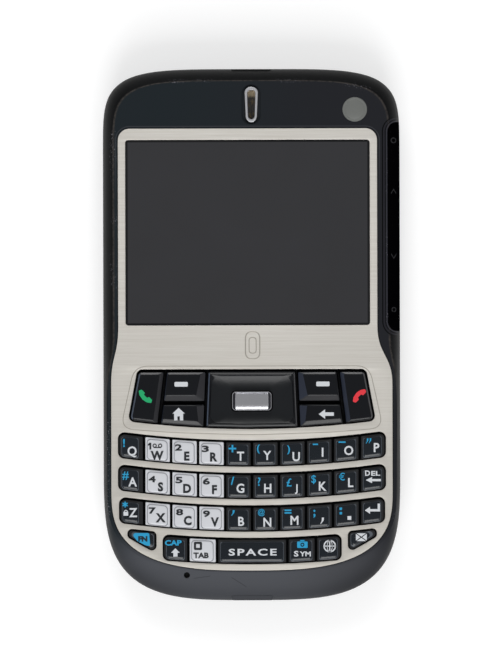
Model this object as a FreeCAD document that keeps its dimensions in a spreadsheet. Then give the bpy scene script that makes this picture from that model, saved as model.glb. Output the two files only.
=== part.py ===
import FreeCAD, Part
import Sketcher
import math
import os
from FreeCAD import Placement, Rotation, Vector

# Keyboard smartphone: a bar-shaped phone with a screen above a navigation cluster and a
# four-row letter keyboard. It lies on its back: +Z leaves the front face, +Y runs towards
# the earpiece and +X to the right. The origin is under the middle, on the back face.

doc = FreeCAD.newDocument("keyboard_phone")

# A cutting block runs this far past what it cuts, so that no skin is left
PAST = 1
# A rounded end stops this far short of a half circle, which a fillet can't reach
ROUND_END_SLACK = 0.01

# Driving sizes, in millimetres
SIZES = [
    # Down the front, from the earpiece end to the chin
    ("forehead_height", 12.53),
    ("plate_top_margin", 2.58),
    ("window_length", 38.74),
    ("window_to_nav", 9.43),
    ("nav_height", 12.45),
    ("nav_to_rows", 2.51),
    ("row_pitch", 6.84),
    ("slot_height", 5.42),
    ("plate_foot", 1.45),
    ("chin_depth", 6.28),
    # Across the front
    ("key_pitch", 5.67),
    ("row_end_trim", 0.25),
    ("third_row_trim", 0.2),
    ("space_key_width", 14.8),
    ("tab_key_width", 6.0),
    ("shift_key_width", 5.35),
    ("plate_side_margin", 1.55),
    ("side_band", 1.6),
    ("left_band", 3.12),
    ("right_band", 4.72),
    ("window_side_margin", 1.77),
    # Curves of the front
    ("row_arc_radius", 204),
    ("flare_length", 12.1),
    ("flare_below_nav", 3.05),
    ("top_corner_reach", 19.08),
    ("top_corner_power", 4.79),
    ("bottom_corner_reach", 28.88),
    ("bottom_corner_power", 3.53),
    ("plate_corner_radius", 2.5),
    ("plate_foot_reach", 17.1),
    ("plate_foot_power", 2.87),
    ("crease_top_inset", 2.53),
    ("crease_side_inset", 2.25),
    ("crease_low_inset", 0.85),
    ("plate_rim", 0.35),
    # Navigation cluster
    ("nav_top_inset", 5.65),
    ("nav_bottom_inset", 3.65),
    ("nav_corner_radius", 1.2),
    ("call_gap_top", 18.1),
    ("call_gap_bottom", 19.5),
    ("pad_gap_top", 9.35),
    ("pad_gap_bottom", 9.85),
    ("soft_key_height", 6.85),
    ("select_width", 8.4),
    ("select_height", 4.0),
    ("select_drop", 6.65),
    ("select_corner_radius", 0.8),
    ("select_gap", 0.3),
    ("select_wing_start", 2.8),
    ("select_wing_end", 4.8),
    ("select_wing_width", 4.8),
    ("select_wing_thickness", 0.35),
    ("rocker_half_width", 1.0),
    ("rocker_reach", 4.9),
    ("rocker_ring_radius", 2.2),
    ("rocker_hole_radius", 1.5),
    ("rocker_gap", 0.08),
    ("pad_nub_reach", 7.0),
    ("pad_tab_half_width", 2.8),
    # Keys
    ("key_clearance", 0.15),
    ("slot_corner_radius", 1.3),
    ("corner_key_gap", 1.45),
    ("corner_key_side_margin", 3.5),
    ("corner_key_top_drop", 1.05),
    ("corner_key_outer_drop", 1.13),
    ("corner_key_inner_drop", 4.5),
    ("corner_key_radius", 0.9),
    ("key_chamfer", 0.35),
    ("flange_reach", 0.35),
    ("plunger_radius", 1.1),
    ("dome_radius", 1.8),
    ("rock_gap", 0.25),
    # Heights, from the back face to the front
    ("cover_thickness", 1.0),
    ("cover_gap", 0.15),
    ("battery_gap", 0.2),
    ("battery_thickness", 4.5),
    ("bay_wall", 0.8),
    ("component_height", 1.45),
    ("component_gap", 0.15),
    ("board_thickness", 0.8),
    ("mat_thickness", 0.3),
    ("dome_height", 0.25),
    ("mat_foot_margin", 0.6),
    ("mat_head_margin", 1.0),
    ("key_air_gap", 0.35),
    ("plunger_length", 0.35),
    ("flange_thickness", 0.5),
    ("rest_gap", 0.03),
    ("deck_thickness", 0.8),
    ("plate_thickness", 0.5),
    ("plate_proud", 0.08),
    ("key_rise", 0.62),
    ("split_height", 6.2),
    # Shells
    ("wall", 1.3),
    ("back_wall", 1.1),
    ("back_inset", 4.2),
    ("plate_clearance", 0.1),
    ("board_clearance", 0.5),
    ("window_ledge", 0.8),
    ("window_clearance", 0.08),
    ("window_corner_radius", 0.5),
    ("window_thickness", 0.45),
    # Touch strip down the right-hand side
    ("strip_length", 43.9),
    ("strip_above_plate", 1.2),
    ("strip_width", 2.55),
    ("strip_thickness", 0.6),
    ("strip_corner_radius", 2.0),
    ("strip_clearance", 0.05),
    ("strip_above_split", 0.5),
    # Earpiece
    ("earpiece_drop", 7.53),
    ("earpiece_recess_length", 8.4),
    ("earpiece_recess_width", 4.0),
    ("earpiece_recess_depth", 0.45),
    ("earpiece_ring_length", 7.8),
    ("earpiece_ring_width", 2.9),
    ("earpiece_slot_length", 5.7),
    ("earpiece_slot_width", 1.36),
    ("earpiece_mesh_depth", 0.6),
    ("earpiece_mesh_thickness", 0.3),
    ("earpiece_capsule_width", 7.0),
    ("earpiece_capsule_length", 8.4),
    # Badge recess and microphone hole
    ("badge_x", 21.8),
    ("badge_drop", 8.63),
    ("badge_radius", 2.65),
    ("badge_depth", 0.1),
    ("mic_x", -13.75),
    ("mic_below_plate", 0.9),
    ("mic_hole_radius", 0.64),
    ("mic_radius", 1.2),
    ("mic_height", 0.8),
    # Display module
    ("display_border", 1.6),
    ("display_foot_border", 2.1),
    ("display_frame_lip", 0.1),
    # Battery and its cover
    ("battery_width", 36.0),
    ("battery_length", 50.0),
    ("battery_side_gap", 0.3),
    ("battery_corner_radius", 1.5),
    ("bay_end_margin", 11.68),
    ("cover_top_margin", 17.0),
    ("cover_side_margin", 5.35),
    ("cover_side_gap", 0.12),
    ("cover_travel", 8.0),
    ("rail_width", 0.6),
    ("rail_thickness", 0.35),
    ("rail_length", 48.0),
    ("rail_gap", 0.12),
    ("rail_head_margin", 2.0),
    # Camera, loudspeaker, socket, motor
    ("camera_drop", 12.98),
    ("camera_ring_radius", 5.5),
    ("camera_window_radius", 3.9),
    ("camera_window_depth", 0.4),
    ("camera_window_thickness", 0.6),
    ("camera_barrel_radius", 3.2),
    ("camera_module_width", 8.5),
    ("camera_fit_gap", 0.05),
    ("speaker_x", -17.0),
    ("speaker_below_camera", 8.0),
    ("speaker_width", 12.0),
    ("speaker_length", 9.0),
    ("speaker_thickness", 3.2),
    ("speaker_slot_width", 0.9),
    ("speaker_slot_length", 6.0),
    ("speaker_slot_pitch", 1.9),
    ("motor_x", 16.5),
    ("motor_radius", 2.0),
    ("motor_length", 10.0),
    ("shield_length", 20.0),
    ("shield_width", 12.0),
    ("shield_side_gap", 1.0),
    ("reader_length", 14.0),
    ("reader_width", 15.0),
    ("reader_above_bay_end", 6.0),
    ("shield_above_bay_end", 24.0),
    ("antenna_width", 11.0),
    ("antenna_depth", 2.0),
    ("antenna_height", 3.0),
    ("socket_width", 7.8),
    ("socket_height", 3.5),
    ("socket_depth", 6.0),
    ("socket_wall", 0.35),
    ("socket_back_wall", 1.0),
    ("tongue_setback", 1.0),
    ("socket_gap", 0.2),
    # Power button in the top end
    ("power_width", 8.0),
    ("power_height", 1.8),
    ("power_above_split", 1.1),
    ("power_end_inset", 0.12),
    ("power_fit_gap", 0.1),
    ("power_flange", 0.6),
    ("power_flange_thickness", 0.6),
    ("power_flange_drop", 0.75),
    ("power_travel_gap", 0.45),
    ("power_switch_depth", 2.0),
    ("power_switch_width", 5.0),
    # Screws, from the back into posts of the front bezel
    ("screw_top_x", 23.0),
    ("screw_top_drop", 7.58),
    ("screw_low_x", 24.2),
    ("screw_radius", 0.7),
    ("screw_head_radius", 1.35),
    ("screw_head_height", 0.9),
    ("screw_grip", 1.2),
    ("pilot_spare", 1.8),
    ("post_radius", 1.9),
    ("rest_radius", 1.2),
    ("rest_inset", 3.0),
    ("screw_hole_gap", 0.1),
]


class Term:
    """A length known both as sheet text, for a binding, and as its present number."""

    def __init__(self, text, number):
        self.text = text
        self.number = number

    def joined(self, other, sign, number):
        return Term(f"({self.text} {sign} {as_term(other).text})", number)

    def __add__(self, other):
        return self.joined(other, "+", self.number + as_term(other).number)

    def __sub__(self, other):
        return self.joined(other, "-", self.number - as_term(other).number)

    def __mul__(self, other):
        return self.joined(other, "*", self.number * as_term(other).number)

    def __truediv__(self, other):
        return self.joined(other, "/", self.number / as_term(other).number)

    def __neg__(self):
        return self * -1


def as_term(value):
    return value if isinstance(value, Term) else Term(str(value), float(value))


def new_sheet(name):
    return doc.addObject("Spreadsheet::Sheet", name)


def write_cell(sheet, row, alias, content):
    sheet.set(f"A{row}", alias)
    sheet.set(f"B{row}", content)
    sheet.setAlias(f"B{row}", alias)


size_sheet = new_sheet("Sizes")
size = {}
for row, (alias, number) in enumerate(SIZES, start=1):
    write_cell(size_sheet, row, alias, str(number))
    size[alias] = Term(f"Sizes.{alias}", float(number))
doc.recompute()

place_sheet = new_sheet("Places")
place = {}


def set_place(alias, term):
    """Work out a place from the sizes, in a cell of its own."""
    write_cell(place_sheet, len(place) + 1, alias, "=" + term.text)
    place[alias] = Term(f"Places.{alias}", term.number)
    return place[alias]


# Overall length and width follow from what the front carries
front_parts = ["forehead_height", "plate_top_margin", "window_length", "window_to_nav",
               "nav_height", "nav_to_rows", "slot_height", "plate_foot", "chin_depth"]
stacked = size["row_pitch"] * 3
for part_name in front_parts:
    stacked = stacked + size[part_name]
top_end = set_place("top_end", stacked / 2)
bottom_end = set_place("bottom_end", -top_end)
row_reach = set_place("row_reach", size["key_pitch"] * 5 - size["row_end_trim"])
plate_reach = set_place("plate_reach", row_reach + size["plate_side_margin"])
side_end = set_place("side_end", plate_reach + size["side_band"])

# Lines down the front
plate_top_y = set_place("plate_top_y", top_end - size["forehead_height"])
window_top = set_place("window_top", plate_top_y - size["plate_top_margin"])
window_foot = set_place("window_foot", window_top - size["window_length"])
nav_top = set_place("nav_top", window_foot - size["window_to_nav"])
nav_foot = set_place("nav_foot", nav_top - size["nav_height"])
row_tops = [set_place("row_top_1", nav_foot - size["nav_to_rows"])]
for number in (2, 3, 4):
    row_tops.append(set_place(f"row_top_{number}", row_tops[-1] - size["row_pitch"]))
row_feet = [set_place(f"row_foot_{n + 1}", y - size["slot_height"]) for n, y in enumerate(row_tops)]
plate_foot_y = set_place("plate_foot_y", row_feet[3] - size["plate_foot"])
window_left = set_place("window_left", size["left_band"] + size["window_side_margin"] - side_end)
window_right = set_place("window_right", side_end - size["right_band"] - size["window_side_margin"])

# Levels above the back face
cover_top = set_place("cover_top", size["cover_thickness"])
shelf_bottom = set_place("shelf_bottom", cover_top + size["cover_gap"])
shelf_top = set_place("shelf_top", shelf_bottom + size["back_wall"])
battery_bottom = set_place("battery_bottom", cover_top + size["battery_gap"])
battery_top = set_place("battery_top", battery_bottom + size["battery_thickness"])
bay_floor = set_place("bay_floor", battery_top + size["battery_gap"])
bay_roof = set_place("bay_roof", bay_floor + size["bay_wall"])
component_bottom = set_place("component_bottom", bay_roof + size["component_gap"])
board_bottom = set_place("board_bottom", component_bottom + size["component_height"])
board_top = set_place("board_top", board_bottom + size["board_thickness"])
mat_top = set_place("mat_top", board_top + size["mat_thickness"])
dome_top = set_place("dome_top", mat_top + size["dome_height"])
plunger_end = set_place("plunger_end", dome_top + size["key_air_gap"])
flange_bottom = set_place("flange_bottom", plunger_end + size["plunger_length"])
flange_top = set_place("flange_top", flange_bottom + size["flange_thickness"])
deck_bottom = set_place("deck_bottom", flange_top + size["rest_gap"])
deck_top = set_place("deck_top", deck_bottom + size["deck_thickness"])
plate_face = set_place("plate_face", deck_top + size["plate_thickness"])
key_top = set_place("key_top", plate_face + size["key_rise"])
bezel_face = set_place("bezel_face", plate_face - size["plate_proud"])
doc.recompute()


# Document helpers

def bind(target, prop, term):
    target.setExpression(prop, as_term(term).text)


def bind_base(target, x, y, z):
    for axis, term in zip("xyz", (x, y, z)):
        bind(target, f"Placement.Base.{axis}", term)


def box(name, x, y, z):
    """A block between pairs of limits along each axis."""
    block = doc.addObject("Part::Box", name)
    for prop, (low, high) in zip(("Length", "Width", "Height"), (x, y, z)):
        bind(block, prop, as_term(high) - low)
    bind_base(block, x[0], y[0], z[0])
    return block


def rod(name, x, y, z, radius, along=None):
    """A cylinder whose z is a pair of limits, or whose pair along Y is given by y."""
    cylinder = doc.addObject("Part::Cylinder", name)
    bind(cylinder, "Radius", radius)
    low, high = y if along == "Y" else z
    bind(cylinder, "Height", as_term(high) - low)
    if along == "Y":
        cylinder.Placement = Placement(Vector(), Rotation(Vector(1, 0, 0), -90))
        bind_base(cylinder, x, low, z)
    else:
        bind_base(cylinder, x, y, low)
    return cylinder


def fuse(name, pieces):
    joined = doc.addObject("Part::MultiFuse", name)
    joined.Shapes = pieces
    return joined


def cut(name, base, tool):
    left = doc.addObject("Part::Cut", name)
    left.Base = base
    left.Tool = tool
    return left


def common(name, pieces):
    shared = doc.addObject("Part::MultiCommon", name)
    shared.Shapes = pieces
    return shared


def group(name, pieces):
    """Separate solids kept side by side under one name."""
    held = doc.addObject("Part::Compound", name)
    held.Links = pieces
    return held


def shape_object(name, shape):
    plain = doc.addObject("Part::Feature", name)
    plain.Shape = shape
    return plain


# Sketch helpers

def new_body(name):
    return doc.addObject("PartDesign::Body", name)


def new_sketch(body, name, height):
    """A sketch on the body's own XY plane, lifted to a height."""
    sketch = body.newObject("Sketcher::SketchObject", name)
    planes = [plane for plane in body.Origin.OriginFeatures if plane.Role == "XY_Plane"]
    sketch.AttachmentSupport = [(planes[0], "")]
    sketch.MapMode = "FlatFace"
    bind(sketch, "AttachmentOffset.Base.z", height)
    return sketch


def constrain(sketch, term, kind, *where):
    number = sketch.addConstraint(Sketcher.Constraint(kind, *where, as_term(term).number))
    bind(sketch, f"Constraints[{number}]", term)


def end_at(sketch, edge, point):
    """Which end of a sketch edge lies at the point."""
    return min((1, 2), key=lambda end: (sketch.getPoint(edge, end) - point).Length)


def arc_height(x, apex, radius):
    return apex + radius - math.sqrt(radius * radius - x * x)


def add_patch(sketch, left, right, foot, top, bend):
    """A four-sided outline. left and right hold the x of the top and foot corners. top and
    foot are the y of the lowest point of a wide arc whose radius is bend, or, for a straight
    edge, a pair of y values for its left and right corners."""
    start = sketch.GeometryCount
    spans = [(left[1], right[1], foot), (left[0], right[0], top)]
    ends = []
    for x_left, x_right, edge_y in spans:
        for x_term, side in ((x_left, 0), (x_right, 1)):
            if isinstance(edge_y, tuple):
                y = as_term(edge_y[side]).number
            else:
                y = arc_height(as_term(x_term).number, as_term(edge_y).number, bend.number)
            ends.append(Vector(as_term(x_term).number, y, 0))
    foot_left, foot_right, top_left, top_right = ends
    corners = [foot_left, foot_right, top_right, top_left]
    for side in range(4):
        first = corners[side]
        second = corners[(side + 1) % 4]
        edge_y = {0: foot, 2: top}.get(side, ())
        if isinstance(edge_y, tuple):
            sketch.addGeometry(Part.LineSegment(first, second), False)
        else:
            middle_x = (first.x + second.x) / 2
            middle_y = arc_height(middle_x, as_term(edge_y).number, bend.number)
            sketch.addGeometry(Part.Arc(first, Vector(middle_x, middle_y, 0), second), False)
            edge = start + side
            sketch.addConstraint(Sketcher.Constraint("PointOnObject", edge, 3, -2))
            constrain(sketch, as_term(edge_y) + bend, "DistanceY", -1, 1, edge, 3)
            constrain(sketch, bend, "Radius", edge)
    for side in range(4):
        corner = corners[(side + 1) % 4]
        edge = start + side
        follower = start + (side + 1) % 4
        ends_here = (edge, end_at(sketch, edge, corner), follower, end_at(sketch, follower, corner))
        sketch.addConstraint(Sketcher.Constraint("Coincident", *ends_here))
    corner_x = [left[1], right[1], right[0], left[0]]
    corner_y = [foot, foot, top, top]
    for side in range(4):
        edge = start + side
        end = end_at(sketch, edge, corners[side])
        constrain(sketch, corner_x[side], "DistanceX", -1, 1, edge, end)
        if isinstance(corner_y[side], tuple):
            y = corner_y[side][1 if side in (1, 2) else 0]
            constrain(sketch, y, "DistanceY", -1, 1, edge, end)
    return corners


def add_circle(sketch, x, y, radius):
    edge = sketch.GeometryCount
    centre = Vector(as_term(x).number, as_term(y).number, 0)
    sketch.addGeometry(Part.Circle(centre, Vector(0, 0, 1), as_term(radius).number), False)
    constrain(sketch, x, "DistanceX", -1, 1, edge, 3)
    constrain(sketch, y, "DistanceY", -1, 1, edge, 3)
    constrain(sketch, radius, "Radius", edge)


def add_pad(body, sketch, length, down=False):
    pad = body.newObject("PartDesign::Pad", sketch.Name + "_pad")
    pad.Profile = sketch
    pad.Reversed = down
    bind(pad, "Length", length)
    return pad


def add_pocket(body, sketch, length, up=False):
    pocket = body.newObject("PartDesign::Pocket", sketch.Name + "_pocket")
    pocket.Profile = sketch
    pocket.Reversed = up
    bind(pocket, "Length", length)
    return pocket


def round_upright_edges(body, points, radius):
    """Fillet the upright edges of the body that stand over the given points."""
    doc.recompute()
    solid = body.Tip.Shape
    names = []
    for number, edge in enumerate(solid.Edges, start=1):
        ends = [vertex.Point for vertex in edge.Vertexes]
        upright = len(ends) == 2 and math.hypot(ends[0].x - ends[1].x, ends[0].y - ends[1].y) < 1e-6
        for point in points:
            if upright and math.hypot(ends[0].x - point.x, ends[0].y - point.y) < 1e-3:
                names.append(f"Edge{number}")
    fillet = body.newObject("PartDesign::Fillet", body.Name + "_corners")
    fillet.Base = (fillet.BaseFeature, names)
    bind(fillet, "Radius", radius)
    return fillet


def bevel_top_face(body, width):
    """Chamfer round the highest level face of the body."""
    doc.recompute()
    faces = body.Tip.Shape.Faces
    chosen = max(range(len(faces)), key=lambda n: (faces[n].CenterOfMass.z, faces[n].Area))
    chamfer = body.newObject("PartDesign::Chamfer", body.Name + "_bevel")
    chamfer.Base = (chamfer.BaseFeature, [f"Face{chosen + 1}"])
    bind(chamfer, "Size", width)
    return chamfer


def rounded_block(name, x, y, z, radius):
    """A block with rounded upright corners, as a padded sketch."""
    body = new_body(name)
    sketch = new_sketch(body, name + "_outline", z[0])
    corners = add_patch(sketch, (x[0], x[0]), (x[1], x[1]), (y[0], y[0]), (y[1], y[1]), None)
    add_pad(body, sketch, as_term(z[1]) - z[0])
    round_upright_edges(body, corners, radius)
    return body


# Curved outlines of the shells

def corner_curve(reach_x, reach_y, power, steps):
    """Offsets along a rounded corner, a quarter of a superellipse from its end to its side."""
    offsets = []
    for step in range(steps + 1):
        angle = math.pi / 2 * (1 - step / steps)
        reach = (math.cos(angle) ** power + math.sin(angle) ** power) ** (-1 / power)
        across = reach_x * reach * math.cos(angle) if step else 0.0
        up = reach_y * reach * math.sin(angle) if step < steps else 0.0
        offsets.append((across, up))
    return offsets


def flare_share(y):
    """How far the front has widened, from 0 beside the screen to 1 beside the keyboard."""
    end = (nav_top - size["flare_below_nav"]).number
    start = end + size["flare_length"].number
    part = min(max((start - y) / (start - end), 0), 1)
    return part * part * (3 - 2 * part)


CORNER_STEPS = 12
FLARE_STEPS = 6


def shell_side(share, inset):
    """Half of the outline, from the top centre round the right side to the bottom centre.
    share runs from 0 at the widest outline to 1 at the crease round the front face."""
    def between(outer, inner):
        return outer + (inner - outer) * share
    side = side_end.number
    upper_x = between(side, side - size["crease_side_inset"].number) - inset
    lower_x = between(side, side - size["crease_low_inset"].number) - inset
    top_y = between(top_end.number, (top_end - size["crease_top_inset"]).number) - inset
    foot_y = between(bottom_end.number, (plate_foot_y - size["plate_rim"]).number) + inset
    top_reach = between(size["top_corner_reach"].number,
                        (size["top_corner_reach"] - size["crease_top_inset"]).number) - inset
    foot_reach = between(size["bottom_corner_reach"].number, size["plate_foot_reach"].number) - inset
    foot_power = between(size["bottom_corner_power"].number, size["plate_foot_power"].number)
    top_corner = corner_curve(upper_x, top_reach, size["top_corner_power"].number, CORNER_STEPS)
    foot_corner = corner_curve(lower_x, foot_reach, foot_power, CORNER_STEPS)
    points = [(x, top_y - top_reach + up) for x, up in top_corner]
    flare_end = (nav_top - size["flare_below_nav"]).number
    for step in range(FLARE_STEPS + 1):
        y = flare_end + size["flare_length"].number * (1 - step / FLARE_STEPS)
        points.append((upper_x + (lower_x - upper_x) * flare_share(y), y))
    points += [(x, foot_y + foot_reach - up) for x, up in reversed(foot_corner)]
    return points


def shell_wire(share, inset, height):
    """A closed smooth outline, kept as edges that end at its middles and at its corners."""
    right = shell_side(share, inset)
    left = [(-x, y) for x, y in reversed(right[1:-1])]
    points = [Vector(x, y, height) for x, y in right + left]
    travelled = [0.0]
    for start, end in zip(points, points[1:] + points[:1]):
        travelled.append(travelled[-1] + (end - start).Length)
    curve = Part.BSplineCurve()
    curve.interpolate(points, PeriodicFlag=True, Parameters=travelled)
    foot_middle = len(right) - 1
    half_corner = CORNER_STEPS // 2
    flare_middle = CORNER_STEPS + 1 + FLARE_STEPS // 2
    marks = [0, half_corner, flare_middle, foot_middle - half_corner]
    marks += [foot_middle] + [2 * foot_middle - mark for mark in marks[::-1]]
    lengths = [travelled[mark] for mark in marks]
    return Part.Wire([curve.toShape(a, b) for a, b in zip(lengths[:-1], lengths[1:])])


ROUNDNESS = 0.9


def rounding(part):
    """Share of the inset reached at a part of the height: a stretch of a circle's edge."""
    return (1 - math.sqrt(1 - (ROUNDNESS * part) ** 2)) / (1 - math.sqrt(1 - ROUNDNESS ** 2))


LOFT_STEPS = 5


def front_loft(low, high, inset):
    """The front shell's form between two heights, inset by a wall."""
    split = size["split_height"].number
    rise = bezel_face.number - split
    wires = []
    for step in range(LOFT_STEPS + 1):
        height = low + (high - low) * step / LOFT_STEPS
        wires.append(shell_wire(rounding((height - split) / rise), inset, height))
    return Part.makeLoft(wires, True)


def rear_loft(low, high, inset):
    """The rear shell's form between two heights, inset by a wall."""
    split = size["split_height"].number
    wires = []
    for step in range(LOFT_STEPS + 1):
        height = low + (high - low) * step / LOFT_STEPS
        drop = size["back_inset"].number * rounding((split - height) / split)
        wires.append(shell_wire(0, inset + drop, height))
    return Part.makeLoft(wires, True)


def plate_prism(grow, low, high):
    """The faceplate's outline, grown by a clearance, as a solid between two heights."""
    side = side_end.number
    left_x = side - size["left_band"].number + grow
    right_x = side - size["right_band"].number + grow
    low_x = plate_reach.number + grow
    top_y = plate_top_y.number + grow
    radius = size["plate_corner_radius"].number + grow
    reach = size["plate_foot_reach"].number + grow
    foot_y = plate_foot_y.number - grow
    flare_end = (nav_top - size["flare_below_nav"]).number
    flare_start = flare_end + size["flare_length"].number
    flare_middle = (flare_start + flare_end) / 2
    corner = corner_curve(low_x, reach, size["plate_foot_power"].number, CORNER_STEPS)

    def edge_run(sign, upper_x):
        """Edges from the top corner to the bottom centre, on one side."""
        def point(x, y):
            return Vector(sign * x, y, low)
        bow = radius * (1 - math.sqrt(0.5))
        flare = Part.BezierCurve()
        flare.setPoles([point(upper_x, flare_start), point(upper_x, flare_middle),
                        point(low_x, flare_middle), point(low_x, flare_end)])
        foot = Part.BSplineCurve()
        foot.interpolate([point(x, foot_y + reach - up) for x, up in reversed(corner)],
                         InitialTangent=Vector(0, -1, 0), FinalTangent=Vector(-sign, 0, 0))
        return [
            Part.Arc(point(upper_x - radius, top_y), point(upper_x - bow, top_y - bow),
                     point(upper_x, top_y - radius)).toShape(),
            Part.LineSegment(point(upper_x, top_y - radius), point(upper_x, flare_start)).toShape(),
            flare.toShape(),
            Part.LineSegment(point(low_x, flare_end), point(low_x, foot_y + reach)).toShape(),
            foot.toShape(),
        ]

    top = Part.LineSegment(Vector(radius - left_x, top_y, low), Vector(right_x - radius, top_y, low))
    edges = [top.toShape()] + edge_run(1, right_x) + edge_run(-1, left_x)
    wire = Part.Wire(Part.__sortEdges__(edges))
    return Part.Face(wire).extrude(Vector(0, 0, high - low))


DOME_TAPER = 60
SPEAKER_SLOTS = 4

# Key outlines. Each is a pair of x values for each side, and a y for the top and foot
bend = size["row_arc_radius"]
gap = size["key_clearance"]


def key_row_spans(row):
    """Left and right limits of each key of a row, before clearance."""
    if row == 3:
        half_space = size["space_key_width"] / 2
        tab_end = half_space + size["tab_key_width"]
        edges = [half_space, tab_end, tab_end + size["shift_key_width"]]
        lines = [-edges[2], -edges[1], -edges[0]] + edges
    else:
        end = row_reach - size["third_row_trim"] if row == 2 else row_reach
        lines = [-end] + [size["key_pitch"] * (column - 4) for column in range(9)] + [end]
    return list(zip(lines[:-1], lines[1:]))


KEY_NAMES = [
    ["key_" + letter for letter in "qwertyuiop"],
    ["key_" + letter for letter in "asdfghjkl"] + ["key_delete"],
    ["key_" + letter for letter in "zxcvbnm"] + ["key_comma", "key_full_stop", "key_enter"],
    ["key_shift", "key_zero_tab", "key_space", "key_symbol", "key_web"],
]

corner_inner_x = set_place("corner_inner_x", key_row_spans(3)[-1][1] + size["corner_key_gap"])
corner_outer_x = set_place("corner_outer_x", plate_reach - size["corner_key_side_margin"])
corner_top = set_place("corner_top", row_feet[2] - size["corner_key_top_drop"])
corner_outer_foot = set_place("corner_outer_foot", row_feet[2] - size["corner_key_outer_drop"])
corner_inner_foot = set_place("corner_inner_foot", row_feet[2] - size["corner_key_inner_drop"])
nav_top_x = set_place("nav_top_x", plate_reach - size["nav_top_inset"])
nav_foot_x = set_place("nav_foot_x", plate_reach - size["nav_bottom_inset"])
select_y = set_place("select_y", nav_top - size["select_drop"])
doc.recompute()


def opening(name, left, right, foot, top, radius):
    """A prism that cuts one slot through the faceplate and the deck under it."""
    body = new_body(name)
    sketch = new_sketch(body, name + "_outline", deck_bottom - PAST)
    corners = add_patch(sketch, left, right, foot, top, bend)
    add_pad(body, sketch, key_top - deck_bottom + 2 * PAST)
    round_upright_edges(body, corners, radius)
    return body


def keypad_openings():
    slots = []
    for row in range(4):
        spans = key_row_spans(row)
        left = spans[0][0]
        right = spans[-1][1]
        slots.append(opening(f"slot_{row + 1}", (left, left), (right, right), row_feet[row],
                             row_tops[row], size["slot_corner_radius"]))
    slots.append(opening("nav_slot", (-nav_top_x, -nav_foot_x), (nav_top_x, nav_foot_x), nav_foot,
                         (nav_top, nav_top), size["nav_corner_radius"]))
    slots.append(opening("left_corner_slot", (-corner_outer_x, -corner_outer_x),
                         (-corner_inner_x, -corner_inner_x),
                         (corner_outer_foot, corner_inner_foot), corner_top,
                         size["corner_key_radius"]))
    slots.append(opening("right_corner_slot", (corner_inner_x, corner_inner_x),
                         (corner_outer_x, corner_outer_x),
                         (corner_inner_foot, corner_outer_foot), corner_top,
                         size["corner_key_radius"]))
    return fuse("keypad_openings", slots)


def shifted(edge, distance):
    """Move a top or foot edge up by a distance."""
    if isinstance(edge, tuple):
        return (edge[0] + distance, edge[1] + distance)
    return edge + distance


def key(name, left, right, foot, top, rounded, corner_radius, flange_down=True, flange_up=True,
        lip=None, lip_sides=None):
    """A key cap that fills its part of a slot, and the flange that holds it under the deck.
    rounded lists the corners at a slot's end: 0 foot left, 1 foot right, 2 top right, 3 top
    left. lip is the flange's thickness and lip_sides its left and right limits, where they
    aren't the cap's own."""
    body = new_body(name)
    left = (left[0] + gap, left[1] + gap)
    right = (right[0] - gap, right[1] - gap)
    foot = shifted(foot, gap)
    top = shifted(top, -gap)
    cap = new_sketch(body, name + "_cap", flange_bottom)
    corners = add_patch(cap, left, right, foot, top, bend)
    add_pad(body, cap, key_top - flange_bottom)
    if rounded:
        round_upright_edges(body, [corners[n] for n in rounded], corner_radius - gap)
    bevel_top_face(body, size["key_chamfer"])
    reach = size["flange_reach"] + gap
    flange = new_sketch(body, name + "_flange", flange_bottom)
    flange_foot = shifted(foot, -reach) if flange_down else foot
    flange_head = shifted(top, reach) if flange_up else top
    flange_left, flange_right = lip_sides or (left, right)
    add_patch(flange, flange_left, flange_right, flange_foot, flange_head, bend)
    add_pad(body, flange, lip or size["flange_thickness"])
    return body


dome_places = []


def add_plunger(body, x, y):
    dome_places.append((x, y))
    plunger = new_sketch(body, body.Name + "_plunger", plunger_end)
    add_circle(plunger, x, y, size["plunger_radius"])
    add_pad(body, plunger, size["plunger_length"])


def keyboard_keys():
    keys = []
    for row, names in enumerate(KEY_NAMES):
        spans = key_row_spans(row)
        for column, (name, (left, right)) in enumerate(zip(names, spans)):
            rounded = {0: [0, 3], len(names) - 1: [1, 2]}.get(column, [])
            body = key(name, (left, left), (right, right), row_feet[row], row_tops[row],
                       rounded, size["slot_corner_radius"])
            middle_x = (left + right) / 2
            rise = middle_x * middle_x / (bend * 2)
            add_plunger(body, middle_x, row_feet[row] + size["slot_height"] / 2 + rise)
            keys.append(body)
    for name, sign in (("key_function", -1), ("key_mail", 1)):
        near = corner_inner_x * sign
        far = corner_outer_x * sign
        left, right = (far, near) if sign < 0 else (near, far)
        feet = (corner_outer_foot, corner_inner_foot)
        foot = feet if sign < 0 else feet[::-1]
        body = key(name, (left, left), (right, right), foot, corner_top, [0, 1, 2, 3],
                   size["corner_key_radius"])
        add_plunger(body, (near * 2 + far) / 3, (corner_inner_foot + corner_outer_foot) / 2)
        keys.append(body)
    return keys


def slanted(top_x, foot_x, drop):
    """x along a slanted side of the navigation cluster, at a drop below its top."""
    return top_x + (foot_x - top_x) * drop / size["nav_height"]


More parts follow.
